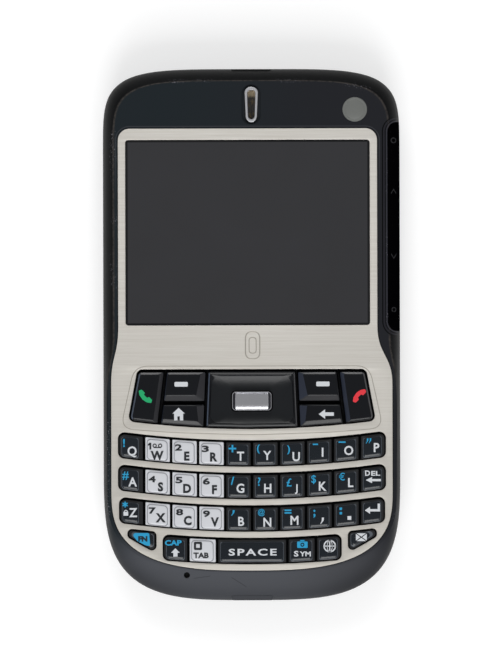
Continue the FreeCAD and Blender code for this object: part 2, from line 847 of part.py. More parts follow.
def nav_keys():
    """Call and end keys, two soft keys, home and back, each side a mirror of the other."""
    keys = []
    drop = size["soft_key_height"]
    split_y = nav_top - drop
    call_top = size["call_gap_top"]
    call_foot = size["call_gap_bottom"]
    call_split = slanted(call_top, call_foot, drop)
    pad_top = size["pad_gap_top"]
    pad_foot = size["pad_gap_bottom"]
    pad_split = slanted(pad_top, pad_foot, drop)
    level_top = (nav_top, nav_top)
    level_split = (split_y, split_y)
    outlines = [
        (("call_key", "end_key"), (nav_top_x, nav_foot_x), (call_top, call_foot), nav_foot,
         level_top, True, True),
        (("left_soft_key", "right_soft_key"), (call_top, call_split), (pad_top, pad_split),
         level_split, level_top, False, True),
        (("home_key", "back_key"), (call_split, call_foot), (pad_split, pad_foot), nav_foot,
         level_split, True, False),
    ]
    radius = size["nav_corner_radius"]
    for names, outer, inner, foot, top, flange_down, flange_up in outlines:
        for name, sign in zip(names, (-1, 1)):
            far = (outer[0] * sign, outer[1] * sign)
            near = (inner[0] * sign, inner[1] * sign)
            left, right = (far, near) if sign < 0 else (near, far)
            rounded = []
            if outer[0] is nav_top_x:
                rounded = [0, 3] if sign < 0 else [1, 2]
            body = key(name, left, right, foot, top, rounded, radius, flange_down, flange_up)
            middle_x = (outer[0] + outer[1] + inner[0] + inner[1]) / 4 * sign
            top_y = top[0]
            foot_y = foot[0] if isinstance(foot, tuple) else foot
            add_plunger(body, middle_x, (top_y + foot_y) / 2)
            keys.append(body)
    return keys


def nav_pad():
    """The rocking pad: a ring round the select key, pressed at its left and right ends. Only
    a tab at the middle of its top and foot lies under the deck, which lets its corners rise."""
    sides = (size["pad_gap_top"], size["pad_gap_bottom"])
    tab = size["pad_tab_half_width"]
    body = key("nav_pad", (-sides[0], -sides[1]), sides, nav_foot, (nav_top, nav_top), [],
               size["nav_corner_radius"], lip=size["flange_thickness"] - size["rock_gap"],
               lip_sides=((-tab, -tab), (tab, tab)))
    half_width = size["select_width"] / 2 + size["select_gap"]
    half_height = size["select_height"] / 2 + size["select_gap"]
    hole = new_sketch(body, "select_hole", key_top)
    corners = add_patch(hole, (-half_width, -half_width), (half_width, half_width),
                        (select_y - half_height, select_y - half_height),
                        (select_y + half_height, select_y + half_height), bend)
    add_pocket(body, hole, key_top - flange_bottom)
    round_upright_edges(body, corners, size["select_corner_radius"])
    wing_x = size["select_wing_end"] + size["select_gap"]
    wing_y = size["select_wing_width"] / 2 + size["select_gap"]
    recess = new_sketch(body, "wing_recess", flange_bottom)
    add_patch(recess, (-wing_x, -wing_x), (wing_x, wing_x), (select_y - wing_y, select_y - wing_y),
              (select_y + wing_y, select_y + wing_y), bend)
    add_pocket(body, recess, size["select_wing_thickness"] + size["rock_gap"], up=True)
    for number, sign in enumerate((-1, 1)):
        nub = new_sketch(body, f"nav_pad_nub_{number + 1}", plunger_end)
        nub_x = size["pad_nub_reach"] * sign
        dome_places.append((nub_x, select_y))
        add_circle(nub, nub_x, select_y, size["plunger_radius"])
        add_pad(body, nub, size["plunger_length"])
    return body


def nav_pad_rocker():
    """The spine under the pad. It rocks fore and aft, and the pad rocks sideways on it."""
    top = flange_bottom - size["rocker_gap"]
    half = size["rocker_half_width"]
    reach = size["rocker_reach"]
    bar = box("rocker_bar", (-half, half), (select_y - reach, select_y + reach), (plunger_end, top))
    ring = rod("rocker_ring", 0, select_y, (plunger_end, top), size["rocker_ring_radius"])
    hole = rod("rocker_hole", 0, select_y, (plunger_end - PAST, top + PAST),
               size["rocker_hole_radius"])
    for sign in (-1, 1):
        dome_places.append((Term("0", 0.0), select_y + (reach - half) * sign))
    return cut("nav_pad_rocker", fuse("rocker_blank", [bar, ring]), hole)


def select_key():
    """The centre key: a cap with two wings that stop it under the pad."""
    body = new_body("select_key")
    half_width = size["select_width"] / 2
    half_height = size["select_height"] / 2
    cap_foot = flange_bottom + size["select_wing_thickness"]
    cap = new_sketch(body, "select_cap", cap_foot)
    corners = add_patch(cap, (-half_width, -half_width), (half_width, half_width),
                        (select_y - half_height, select_y - half_height),
                        (select_y + half_height, select_y + half_height), bend)
    add_pad(body, cap, key_top - cap_foot)
    round_upright_edges(body, corners, size["select_corner_radius"])
    bevel_top_face(body, size["key_chamfer"])
    wings = new_sketch(body, "select_wings", flange_bottom)
    wing_y = size["select_wing_width"] / 2
    near = size["select_wing_start"]
    far = size["select_wing_end"]
    for left, right in ((-far, -near), (near, far)):
        add_patch(wings, (left, left), (right, right), (select_y - wing_y, select_y - wing_y),
                  (select_y + wing_y, select_y + wing_y), bend)
    add_pad(body, wings, size["select_wing_thickness"])
    stem = new_sketch(body, "select_stem", plunger_end)
    dome_places.append((Term("0", 0.0), select_y))
    add_circle(stem, Term("0", 0.0), select_y, size["plunger_radius"])
    add_pad(body, stem, cap_foot - plunger_end)
    return body


# Places of the pieces inside
middle = Term("0", 0.0)
side_far = side_end + size["strip_corner_radius"] + PAST
earpiece_y = set_place("earpiece_y", top_end - size["earpiece_drop"])
camera_y = set_place("camera_y", top_end - size["camera_drop"])
battery_foot = set_place("battery_foot", bottom_end + size["bay_end_margin"])
battery_head = set_place("battery_head", battery_foot + size["battery_length"])
cover_head = set_place("cover_head", battery_head + size["cover_top_margin"])
cover_side = set_place("cover_side", side_end - size["cover_side_margin"])
rail_foot = set_place("rail_foot", cover_head - size["rail_length"] - size["rail_head_margin"])
rail_low = set_place("rail_low", (cover_top - size["rail_thickness"]) / 2)
rail_high = set_place("rail_high", rail_low + size["rail_thickness"])
speaker_y = set_place("speaker_y", camera_y - size["speaker_below_camera"])
mic_y = set_place("mic_y", plate_foot_y - size["mic_below_plate"])
screw_top_y = set_place("screw_top_y", top_end - size["screw_top_drop"])
screw_low_y = set_place("screw_low_y", (window_foot + nav_top) / 2)
power_low = set_place("power_low", size["split_height"] + size["power_above_split"])
power_high = set_place("power_high", power_low + size["power_height"])
power_flange_end = set_place("power_flange_end",
                             top_end - size["wall"] - size["power_flange_drop"])
power_flange_start = set_place("power_flange_start",
                               power_flange_end - size["power_flange_thickness"])
switch_end = set_place("switch_end", power_flange_start - size["power_travel_gap"])
switch_start = set_place("switch_start", switch_end - size["power_switch_depth"])
socket_bottom = set_place("socket_bottom", board_bottom - size["socket_height"])
socket_mouth = set_place("socket_mouth", bottom_end + size["wall"])
strip_head = set_place("strip_head", plate_top_y + size["strip_above_plate"])
strip_foot = set_place("strip_foot", strip_head - size["strip_length"])
doc.recompute()

screw_places = []
for sign in (-1, 1):
    screw_places.append((size["screw_top_x"] * sign, screw_top_y))
    screw_places.append((size["screw_low_x"] * sign, screw_low_y))


def window_block(name, grow, low, high):
    """The window's outline, grown by a clearance, between two heights."""
    radius = size["window_corner_radius"] + grow
    return rounded_block(name, (window_left - grow, window_right + grow),
                         (window_foot - grow, window_top + grow), (low, high), radius)


def slot_block(name, x, y, width, length, low, high):
    """A block with fully rounded ends, longer along Y."""
    half_width = width / 2
    return rounded_block(name, (x - half_width, x + half_width), (y - length / 2, y + length / 2),
                         (low, high), half_width - ROUND_END_SLACK)


def strip_block(name, grow):
    """The space of the touch strip, past the outside of the shell."""
    start = side_end - size["strip_width"] - grow
    return rounded_block(name, (start, side_far), (strip_foot - grow, strip_head + grow),
                         (size["split_height"] + size["strip_above_split"] - grow, key_top),
                         size["strip_corner_radius"] + grow)


def strip_core(name, depth):
    """The shell's form under the touch strip."""
    split = size["split_height"].number
    return shape_object(name, front_loft(split - PAST, bezel_face.number - depth.number,
                                         depth.number))


def touch_strip():
    form = shape_object("strip_form", front_loft(size["split_height"].number, bezel_face.number, 0))
    outer = common("strip_outer", [form, strip_block("strip_space", middle)])
    return cut("touch_strip", outer, strip_core("strip_core", size["strip_thickness"]))


def front_bezel(openings):
    """The front shell: a rim that carries the deck under the faceplate and the screw posts."""
    split = size["split_height"]
    form = front_loft(split.number, bezel_face.number, 0)
    hollow = front_loft(split.number - PAST, deck_bottom.number, size["wall"].number)
    posts = []
    for number, (x, y) in enumerate(screw_places):
        posts.append(rod(f"bezel_post_{number + 1}", x, y, (split, (deck_bottom + deck_top) / 2),
                         size["post_radius"]))
    shell = cut("bezel_shell", shape_object("bezel_form", form),
                shape_object("bezel_hollow", hollow))
    blank = fuse("bezel_blank", [shell] + posts)
    ledge = size["window_ledge"]
    cuts = [openings]
    cuts.append(shape_object("plate_recess", plate_prism(size["plate_clearance"].number,
                                                         deck_top.number, key_top.number + PAST)))
    cuts.append(box("display_opening", (window_left + ledge, window_right - ledge),
                    (window_foot + ledge, window_top - ledge), (deck_bottom - PAST, key_top)))
    cuts.append(slot_block("earpiece_recess", middle, earpiece_y, size["earpiece_recess_width"],
                           size["earpiece_recess_length"],
                           bezel_face - size["earpiece_recess_depth"], key_top))
    cuts.append(slot_block("earpiece_hole", middle, earpiece_y, size["earpiece_ring_width"],
                           size["earpiece_ring_length"], deck_bottom - PAST, key_top))
    cuts.append(rod("badge_recess", size["badge_x"], top_end - size["badge_drop"],
                    (bezel_face - size["badge_depth"], key_top), size["badge_radius"]))
    cuts.append(rod("mic_hole", size["mic_x"], mic_y, (board_top, key_top),
                    size["mic_hole_radius"]))
    for number, (x, y) in enumerate(screw_places):
        cuts.append(rod(f"bezel_pilot_{number + 1}", x, y,
                        (split - PAST, split + size["screw_grip"] + size["pilot_spare"]),
                        size["screw_radius"]))
    half = size["power_width"] / 2 + size["power_fit_gap"]
    cuts.append(box("power_hole", (-half, half), (power_flange_end, top_end + PAST),
                    (power_low - size["power_fit_gap"], power_high + size["power_fit_gap"])))
    cuts.append(socket_opening("bezel_socket_opening"))
    strip_depth = size["strip_thickness"] + size["strip_clearance"]
    cuts.append(cut("strip_pocket", strip_block("strip_pocket_space", size["strip_clearance"]),
                    strip_core("strip_seat", strip_depth)))
    return cut("front_bezel", blank, fuse("bezel_cuts", cuts))


def socket_opening(name):
    half = size["socket_width"] / 2 + size["socket_gap"]
    return box(name, (-half, half), (bottom_end - PAST, socket_mouth + PAST),
               (socket_bottom - size["socket_gap"], board_bottom + size["socket_gap"]))


def faceplate(openings):
    blank = shape_object("plate_blank", plate_prism(0, deck_top.number, plate_face.number))
    window = window_block("plate_window", size["window_clearance"], deck_top - PAST,
                          key_top + PAST)
    return cut("faceplate", blank, fuse("plate_cuts", [openings, window]))


def display_window():
    return window_block("display_window", middle, deck_top, deck_top + size["window_thickness"])


def display_module():
    border = size["display_border"]
    frame = box("display_frame", (window_left - border, window_right + border),
                (window_foot - size["display_foot_border"], window_top + border),
                (board_top, deck_bottom))
    ledge = size["window_ledge"]
    glass = box("display_glass_recess", (window_left + ledge, window_right - ledge),
                (window_foot + ledge, window_top - ledge),
                (deck_bottom - size["display_frame_lip"], key_top))
    return cut("display_module", frame, glass)


def level_prism(name, height, inset, low, high):
    """A flat piece that follows the inside of the shell at a height."""
    split = size["split_height"].number
    share = rounding((height.number - split) / (bezel_face.number - split))
    face = Part.Face(shell_wire(share, inset.number, low.number))
    return shape_object(name, face.extrude(Vector(0, 0, high.number - low.number)))


def rear_housing():
    """The rear shell with the battery bay, the screw bosses and the rests of the board."""
    split = size["split_height"]
    form = shape_object("rear_form", rear_loft(0, split.number, 0))
    hollow = rear_loft(shelf_top.number, split.number + PAST, size["wall"].number)
    shell = cut("rear_shell", form, shape_object("rear_hollow", hollow))
    half_bay = size["battery_width"] / 2 + size["battery_side_gap"]
    outer = half_bay + size["bay_wall"]
    foot = battery_foot - size["battery_side_gap"]
    head = battery_head + size["battery_side_gap"]
    bay = box("bay_block", (-outer, outer), (foot - size["bay_wall"], head + size["bay_wall"]),
              (shelf_bottom, bay_roof))
    added = [shell, bay]
    for number, (x, y) in enumerate(screw_places):
        added.append(rod(f"rear_boss_{number + 1}", x, y, (shelf_bottom, split),
                         size["post_radius"]))
    rest_x = half_bay - size["rest_radius"]
    for end, y in (("foot", foot + size["rest_inset"]), ("head", head - size["rest_inset"])):
        for side, sign in (("left", -1), ("right", 1)):
            added.append(rod(f"board_rest_{end}_{side}", rest_x * sign, y,
                             (bay_floor, board_bottom), size["rest_radius"]))
    blank = fuse("rear_blank", added)
    cuts = [box("bay_space", (-half_bay, half_bay), (foot, head), (-cover_top, bay_floor))]
    clear = size["cover_side_gap"]
    cuts.append(box("cover_space", (-cover_side - clear, cover_side + clear),
                    (bottom_end - PAST, cover_head + clear), (-cover_top, shelf_bottom)))
    rail_far = cover_side + size["rail_width"] + size["rail_gap"]
    cuts.append(box("rail_groove", (-rail_far, rail_far),
                    (rail_foot - size["cover_travel"] - PAST, cover_head + clear),
                    (rail_low - size["rail_gap"], rail_high + size["rail_gap"])))
    for number, (x, y) in enumerate(screw_places):
        cuts.append(rod(f"rear_bore_{number + 1}", x, y, (-cover_top, split + PAST),
                        size["screw_radius"] + size["screw_hole_gap"]))
        cuts.append(rod(f"rear_counterbore_{number + 1}", x, y,
                        (-cover_top, shelf_bottom + size["screw_head_height"]),
                        size["screw_head_radius"] + size["screw_hole_gap"]))
    cuts.append(rod("camera_hole", middle, camera_y, (-cover_top, shelf_top + PAST),
                    size["camera_ring_radius"] + size["camera_fit_gap"]))
    pitch = size["speaker_slot_pitch"]
    for number in range(SPEAKER_SLOTS):
        slot_x = size["speaker_x"] + pitch * (number - (SPEAKER_SLOTS - 1) / 2)
        cuts.append(slot_block(f"speaker_slot_{number + 1}", slot_x, speaker_y,
                               size["speaker_slot_width"], size["speaker_slot_length"],
                               -cover_top, shelf_top + PAST))
    cuts.append(socket_opening("rear_socket_opening"))
    return cut("rear_housing", blank, fuse("rear_cuts", cuts))


def battery_cover():
    """The back panel, down to the bottom end. Rails at its sides hold it to the housing."""
    form = shape_object("cover_form", rear_loft(0, size["split_height"].number, 0))
    space = box("cover_panel_space", (-cover_side, cover_side), (bottom_end - PAST, cover_head),
                (-cover_top, cover_top))
    panel = common("cover_panel", [form, space])
    rails = []
    out = size["rail_width"]
    for name, x in (("cover_rail_left", (-cover_side - out, -cover_side + out)),
                    ("cover_rail_right", (cover_side - out, cover_side + out))):
        rails.append(box(name, x, (rail_foot, rail_foot + size["rail_length"]),
                         (rail_low, rail_high)))
    return fuse("battery_cover", [panel] + rails)


def battery():
    half = size["battery_width"] / 2
    return rounded_block("battery", (-half, half), (battery_foot, battery_head),
                         (battery_bottom, battery_top), size["battery_corner_radius"])


def keypad_mat():
    """The silicone sheet on the board, with a dome under each plunger."""
    sheet = level_prism("mat_sheet", mat_top, size["wall"] + size["board_clearance"], board_top,
                        mat_top)
    reach = box("mat_reach", (-side_far, side_far),
                (row_feet[3] - size["mat_foot_margin"], nav_top + size["mat_head_margin"]),
                (board_top - PAST, mat_top + PAST))
    domes = new_body("mat_domes")
    circles = new_sketch(domes, "dome_circles", mat_top)
    for x, y in dome_places:
        add_circle(circles, x, y, size["dome_radius"])
    pad = add_pad(domes, circles, size["dome_height"])
    pad.TaperAngle = -DOME_TAPER
    return fuse("keypad_mat", [common("mat_blank", [sheet, reach]), domes])


def circuit_board():
    """The board and what is soldered to it, each a solid of its own."""
    outline = level_prism("board_outline", board_top, size["wall"] + size["board_clearance"],
                          board_bottom, board_top)
    holes = []
    for number, (x, y) in enumerate(screw_places):
        holes.append(rod(f"board_hole_{number + 1}", x, y, (board_bottom - PAST, board_top + PAST),
                         size["post_radius"] + size["board_clearance"]))
    notch = size["power_width"] / 2 + size["power_flange"] + size["board_clearance"]
    holes.append(box("switch_notch", (-notch, notch), (switch_start, top_end),
                     (board_bottom - PAST, board_top + PAST)))
    board = cut("board", outline, fuse("board_holes", holes))
    pieces = [board]
    inner_gap = size["shield_side_gap"]
    shield_foot = battery_foot + size["shield_above_bay_end"]
    reader_foot = battery_foot + size["reader_above_bay_end"]
    shield_y = (shield_foot, shield_foot + size["shield_length"])
    reader_y = (reader_foot, reader_foot + size["reader_length"])
    for name, width, y in (("radio_shield", -size["shield_width"], shield_y),
                           ("processor_shield", size["shield_width"], shield_y),
                           ("sim_reader", -size["reader_width"], reader_y),
                           ("card_reader", size["reader_width"], reader_y)):
        near = inner_gap if width.number > 0 else -inner_gap
        x = (near, near + width) if width.number > 0 else (near + width, near)
        pieces.append(box(name, x, y, (component_bottom, board_bottom)))
    half_switch = size["power_switch_width"] / 2
    pieces.append(box("power_switch", (-half_switch, half_switch), (switch_start, switch_end),
                      (power_low, power_high)))
    pieces.append(rod("microphone", size["mic_x"], mic_y, (board_top, board_top + size["mic_height"]),
                      size["mic_radius"]))
    pieces.append(data_socket())
    pieces.append(loudspeaker())
    antenna_end = -size["camera_module_width"] / 2 - size["board_clearance"]
    antenna_foot = camera_y + size["camera_module_width"] / 2
    pieces.append(box("antenna", (antenna_end - size["antenna_width"], antenna_end),
                      (antenna_foot, antenna_foot + size["antenna_depth"]),
                      (board_bottom - size["antenna_height"], board_bottom)))
    half_motor = size["motor_length"] / 2
    pieces.append(rod("vibration_motor", size["motor_x"],
                      (speaker_y - half_motor, speaker_y + half_motor),
                      shelf_top + size["motor_radius"], size["motor_radius"], along="Y"))
    return group("circuit_board", pieces)


def data_socket():
    """The charging and data socket under the board, with its mouth in the bottom end."""
    half = size["socket_width"] / 2
    skin = size["socket_wall"]
    depth = size["socket_depth"]
    shell = box("socket_shell", (-half, half), (socket_mouth, socket_mouth + depth),
                (socket_bottom, board_bottom))
    back = socket_mouth + depth - size["socket_back_wall"]
    hollow = box("socket_hollow", (skin - half, half - skin), (socket_mouth - PAST, back),
                 (socket_bottom + skin, board_bottom - skin))
    centre = (socket_bottom + board_bottom) / 2
    tongue = box("socket_tongue", (skin * 3 - half, half - skin * 3),
                 (socket_mouth + size["tongue_setback"], back + size["socket_back_wall"] / 2),
                 (centre - skin, centre + skin))
    return fuse("data_socket", [cut("socket_can", shell, hollow), tongue])


def loudspeaker():
    """The loudspeaker lies on the back wall, over its slots."""
    half_width = size["speaker_width"] / 2
    half_length = size["speaker_length"] / 2
    x = size["speaker_x"]
    return box("loudspeaker", (x - half_width, x + half_width),
               (speaker_y - half_length, speaker_y + half_length),
               (shelf_top, shelf_top + size["speaker_thickness"]))


def earpiece():
    """Ring, mesh and sound capsule, each a solid of its own."""
    outer = slot_block("ring_outer", middle, earpiece_y, size["earpiece_ring_width"],
                       size["earpiece_ring_length"], deck_bottom, bezel_face)
    inner = slot_block("ring_inner", middle, earpiece_y, size["earpiece_slot_width"],
                       size["earpiece_slot_length"], deck_bottom - PAST, key_top)
    mesh_top = bezel_face - size["earpiece_mesh_depth"]
    mesh = slot_block("earpiece_mesh", middle, earpiece_y, size["earpiece_slot_width"],
                      size["earpiece_slot_length"], mesh_top - size["earpiece_mesh_thickness"],
                      mesh_top)
    half_width = size["earpiece_capsule_width"] / 2
    half_length = size["earpiece_capsule_length"] / 2
    capsule = box("earpiece_capsule", (-half_width, half_width),
                  (earpiece_y - half_length, earpiece_y + half_length), (board_top, deck_bottom))
    return group("earpiece", [cut("earpiece_ring", outer, inner), mesh, capsule])


def camera():
    """Ring, window, barrel and sensor block, seated in the back under the board."""
    window_top_z = size["camera_window_depth"] + size["camera_window_thickness"]
    ring = rod("camera_ring_blank", middle, camera_y, (middle, shelf_top),
               size["camera_ring_radius"])
    bore = rod("camera_ring_bore", middle, camera_y, (-cover_top, shelf_top + PAST),
               size["camera_window_radius"])
    window = rod("camera_window", middle, camera_y, (size["camera_window_depth"], window_top_z),
                 size["camera_window_radius"])
    barrel = rod("camera_barrel", middle, camera_y, (window_top_z, battery_top),
                 size["camera_barrel_radius"])
    half = size["camera_module_width"] / 2
    sensor = box("camera_sensor", (-half, half), (camera_y - half, camera_y + half),
                 (battery_top, board_bottom))
    return group("camera", [cut("camera_ring", ring, bore), window, barrel, sensor])


def screws():
    """Four screws from the back: a head in the counterbore and a shank in the post."""
    pieces = []
    seat = shelf_bottom + size["screw_head_height"]
    for number, (x, y) in enumerate(screw_places):
        head = rod(f"screw_head_{number + 1}", x, y, (shelf_bottom, seat),
                   size["screw_head_radius"])
        shank = rod(f"screw_shank_{number + 1}", x, y,
                    (seat, size["split_height"] + size["screw_grip"]), size["screw_radius"])
        pieces.append(fuse(f"screw_{number + 1}", [head, shank]))
    return group("screws", pieces)


def power_button():
    half = size["power_width"] / 2
    cap = box("power_cap", (-half, half),
              (power_flange_end, top_end - size["power_end_inset"]), (power_low, power_high))
    lip = size["power_flange"]
    flange = box("power_flange_plate", (-half - lip, half + lip),
                 (power_flange_start, power_flange_end), (power_low - lip, power_high + lip))
    return fuse("power_button", [cap, flange])


key_slots = keypad_openings()
parts = [front_bezel(key_slots), faceplate(key_slots), display_window(), display_module(),
         touch_strip(), rear_housing(), battery_cover(), battery(), earpiece(), camera(),
         screws(), power_button()]
parts += keyboard_keys() + nav_keys() + [nav_pad(), nav_pad_rocker(), select_key()]
parts += [keypad_mat(), circuit_board()]
doc.recompute()

# Every object has to be sound before anything is written
for item in doc.Objects:
    if "Invalid" in item.State or "Error" in item.State:
        raise RuntimeError(f"{item.Name} failed: {item.State}")
for part in parts:
    if part.Shape.isNull() or not part.Shape.isValid() or not part.Shape.Solids:
        raise RuntimeError(f"{part.Label} has no sound shape")

os.makedirs("parts", exist_ok=True)
for part in parts:
    part.Shape.exportStep(f"parts/{part.Label}.step")
print(len(parts), "pieces written")
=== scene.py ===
import math
from functools import partial

import bmesh
import bpy
from mathutils import Matrix, Vector
from mathutils.bvhtree import BVHTree


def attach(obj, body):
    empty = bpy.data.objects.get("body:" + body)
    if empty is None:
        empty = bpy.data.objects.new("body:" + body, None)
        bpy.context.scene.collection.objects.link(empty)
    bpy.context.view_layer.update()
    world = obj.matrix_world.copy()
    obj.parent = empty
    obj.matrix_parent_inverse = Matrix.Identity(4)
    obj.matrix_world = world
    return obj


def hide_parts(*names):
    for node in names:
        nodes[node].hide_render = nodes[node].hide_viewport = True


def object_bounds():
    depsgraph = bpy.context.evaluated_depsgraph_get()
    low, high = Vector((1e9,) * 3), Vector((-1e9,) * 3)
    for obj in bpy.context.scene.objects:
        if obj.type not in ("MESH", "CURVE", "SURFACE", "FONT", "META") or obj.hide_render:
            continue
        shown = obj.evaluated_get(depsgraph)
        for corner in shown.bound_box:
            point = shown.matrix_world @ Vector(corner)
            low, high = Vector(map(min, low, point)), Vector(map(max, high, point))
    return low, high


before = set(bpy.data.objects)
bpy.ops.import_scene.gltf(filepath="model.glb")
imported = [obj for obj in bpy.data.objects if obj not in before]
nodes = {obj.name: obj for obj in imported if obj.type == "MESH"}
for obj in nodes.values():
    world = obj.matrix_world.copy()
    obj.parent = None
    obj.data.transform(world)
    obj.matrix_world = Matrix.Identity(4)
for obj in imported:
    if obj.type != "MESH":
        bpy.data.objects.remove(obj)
cad_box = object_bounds()
scene = bpy.context.scene
scene.view_settings.view_transform = "Standard"
MM = 0.001


# Table, sky and lamps
# A plain white table under a pale sky that is dimmer straight overhead, where the camera
# stands, and two broad soft lamps beyond the foot and the head of the phone.

def linear(hex_colour):
    """An sRGB hex colour as the linear RGBA that a shader socket takes."""
    values = [int(hex_colour[start:start + 2], 16) / 255 for start in (1, 3, 5)]
    return (*[v / 12.92 if v <= 0.04045 else ((v + 0.055) / 1.055) ** 2.4 for v in values], 1.0)


def add_node(tree, kind, inputs=(), **settings):
    """Adds a node and fills its inputs, in order or by name, with values or other nodes.

    A node that is given as a value stands for its first output.
    """
    node = tree.nodes.new(kind if "Node" in kind else "ShaderNode" + kind)
    for name, value in settings.items():
        setattr(node, name, value)
    sockets = [socket for socket in node.inputs if socket.enabled]
    for key, value in inputs.items() if isinstance(inputs, dict) else enumerate(inputs):
        socket = node.inputs[key] if isinstance(key, str) else sockets[key]
        if isinstance(value, bpy.types.Node):
            value = next(output for output in value.outputs if output.enabled)
        if isinstance(value, bpy.types.NodeSocket):
            tree.links.new(value, socket)
        else:
            socket.default_value = value
    return node


def new_material(name):
    """A new material, and what puts nodes into its empty tree."""
    material = bpy.data.materials.new(name)
    material.use_nodes = True
    material.node_tree.nodes.clear()
    return material, partial(add_node, material.node_tree)


sky_overhead, sky_horizon = 0.33, 0.8
table_size = 4.0
table_height = cad_box[0].z - 0.02 * MM

world = bpy.data.worlds.new("pale_sky")
scene.world = world
world.use_nodes = True
world.node_tree.nodes.clear()
put = partial(add_node, world.node_tree)
direction = put("TexCoord").outputs["Generated"]
height = put("SeparateXYZ", (direction,)).outputs["Z"]
strength = put("MapRange", (height, 0.12, 0.5, sky_horizon, sky_overhead), interpolation_type="SMOOTHSTEP")
glow = put("Background", {"Color": linear("#fdfeff"), "Strength": strength})
put("OutputWorld", {"Surface": glow})

# The camera, gloss and glass see the table as white, while it lights the phone no more for that.
table_white, put = new_material("table_white_laminate")
ray = put("LightPath").outputs
seen = ray["Is Camera Ray"]
for kind_of_ray in ("Is Glossy Ray", "Is Transmission Ray"):
    seen = put("Math", (seen, ray[kind_of_ray]), operation="MAXIMUM")
lift = put("Math", (seen, 0.5), operation="MULTIPLY")
matt = put("BsdfDiffuse", {"Color": linear("#cdcdcd")})
put("OutputMaterial", {"Surface": put("AddShader", (matt, put("Emission", {"Strength": lift})))})

half = table_size / 2
table_mesh = bpy.data.meshes.new("table")
table_mesh.from_pydata([(-half, -half, table_height), (half, -half, table_height),
                        (half, half, table_height), (-half, half, table_height)], [], [(0, 1, 2, 3)])
table_mesh.materials.append(table_white)
table = bpy.data.objects.new("table", table_mesh)
scene.collection.objects.link(table)


def add_lamp(name, place, width, depth, radiance):
    """A soft lamp of one width and height aimed at the phone."""
    light = bpy.data.lights.new(name, "AREA")
    light.shape = "RECTANGLE"
    light.size = width
    light.size_y = depth
    light.energy = radiance * math.pi * width * depth
    lamp = bpy.data.objects.new(name, light)
    lamp.location = place
    lamp.rotation_euler = (-Vector(place)).to_track_quat("-Z", "Y").to_euler()
    lamp.visible_camera = False
    scene.collection.objects.link(lamp)


add_lamp("foot_lamp", (0.0, -2.4, 1.85), 2.1, 2.4, 4.5)
add_lamp("head_lamp", (-0.2, 2.3, 1.7), 1.8, 1.6, 3.6)


# Camera
# Straight above the keys and far off, as a product photo is taken, and turned a hair because
# the phone leans a little to the left in the picture.

photo_height = 670
pixel = 0.21025 * MM
camera_distance = 3.0
key_top_level = 12.8 * MM
picture_centre = (-0.137 * MM, -0.078 * MM)
lean = math.radians(-0.148)

lens = bpy.data.cameras.new("overhead_camera")
lens.sensor_width = 36
lens.lens = lens.sensor_width * camera_distance / (photo_height * pixel)
lens.clip_start = 0.01
lens.clip_end = 20
camera = bpy.data.objects.new("overhead_camera", lens)
camera.location = (*picture_centre, key_top_level + camera_distance)
camera.rotation_euler = (0, 0, lean)
scene.collection.objects.link(camera)
scene.camera = camera


# Circuit board, keypad mat, battery and display
# Parts inside the shell: an epoxy glass board with its shields and sockets, a moulded silicone
# mat with a dome under each key, a wrapped battery and a display in a stamped steel frame.

def place_in_mm(put):
    """Where a point lies on the phone, in mm, for a pattern that stays on its piece."""
    return put("VectorMath", (put("TexCoord").outputs["Object"], 1 / MM), operation="SCALE")


def painted(put, tone, *coats):
    """A tone with others laid over it, each with its share from 0 to 1."""
    for share, coat in coats:
        pair = [linear(colour) if isinstance(colour, str) else colour for colour in (tone, coat)]
        tone = put("Mix", (share, *pair), data_type="RGBA")
    return tone


def surface(put, values, grain=None, depth=0.0):
    """A material's surface from its shader values, and from a grain of that depth in mm."""
    if grain is not None:
        values["Normal"] = put("Bump", {"Height": grain, "Distance": depth * MM, "Strength": 1.0})
    put("OutputMaterial", {"Surface": put("BsdfPrincipled", values)})


def moulded(name, colour, drift_colour, roughness, grain, depth, gloss_level=0.5, drift=9.0, metallic=0.0):
    """Moulded or coated skin: its tone drifts over the piece and it has a fine grain, in mm."""
    material, put = new_material(name)
    in_mm = place_in_mm(put)
    patches = put("TexNoise", {"Vector": in_mm, "Scale": 1 / drift, "Detail": 3.0})
    pits = put("TexNoise", {"Vector": in_mm, "Scale": 1 / grain, "Detail": 2.0})
    rough = put("MapRange", {"Value": pits, "To Min": roughness * 0.85, "To Max": min(1.0, roughness * 1.15)})
    surface(put, {"Base Color": painted(put, colour, (patches, drift_colour)), "Roughness": rough,
                  "Specular IOR Level": gloss_level, "Metallic": metallic}, pits, depth)
    return material


def give_material(node_name, material):
    """Puts one material on every slot of a CAD node."""
    mesh = nodes[node_name].data
    for slot in range(len(mesh.materials)):
        mesh.materials[slot] = material


# The board is the green layer between 8.3 and 9.1 mm; shields and sockets are tinned steel.
board_mix, put = new_material("epoxy_board_and_tinned_parts")
in_mm = place_in_mm(put)
level = put("SeparateXYZ", (in_mm,)).outputs["Z"]
layer = put("Math", (level, 8.7, 0.41), operation="COMPARE")
tracks = put("TexBrick", {"Vector": in_mm, "Scale": 1 / 1.4, "Color1": linear("#123c27"),
                          "Color2": linear("#16452e"), "Mortar": linear("#1f5a3c"), "Mortar Size": 0.04})
patina = put("TexNoise", {"Vector": in_mm, "Scale": 1 / 2.5, "Detail": 3.0})
tone = painted(put, "#8c8e91", (patina, "#6f7174"), (layer, tracks))
metal = put("Math", (1.0, layer), operation="SUBTRACT")
surface(put, {"Base Color": tone, "Roughness": 0.35, "Metallic": metal})
give_material("circuit_board", board_mix)
give_material("keypad_mat", moulded("silicone_mat_moulded", "#16171a", "#1d1e21", 0.6, 0.25, 0.006, 0.2))
give_material("battery", moulded("battery_wrap_matt", "#4d5055", "#44474c", 0.55, 0.3, 0.004))
give_material("display_module", moulded("stamped_steel_frame", "#8d9094", "#7d8084", 0.4, 0.3, 0.004))
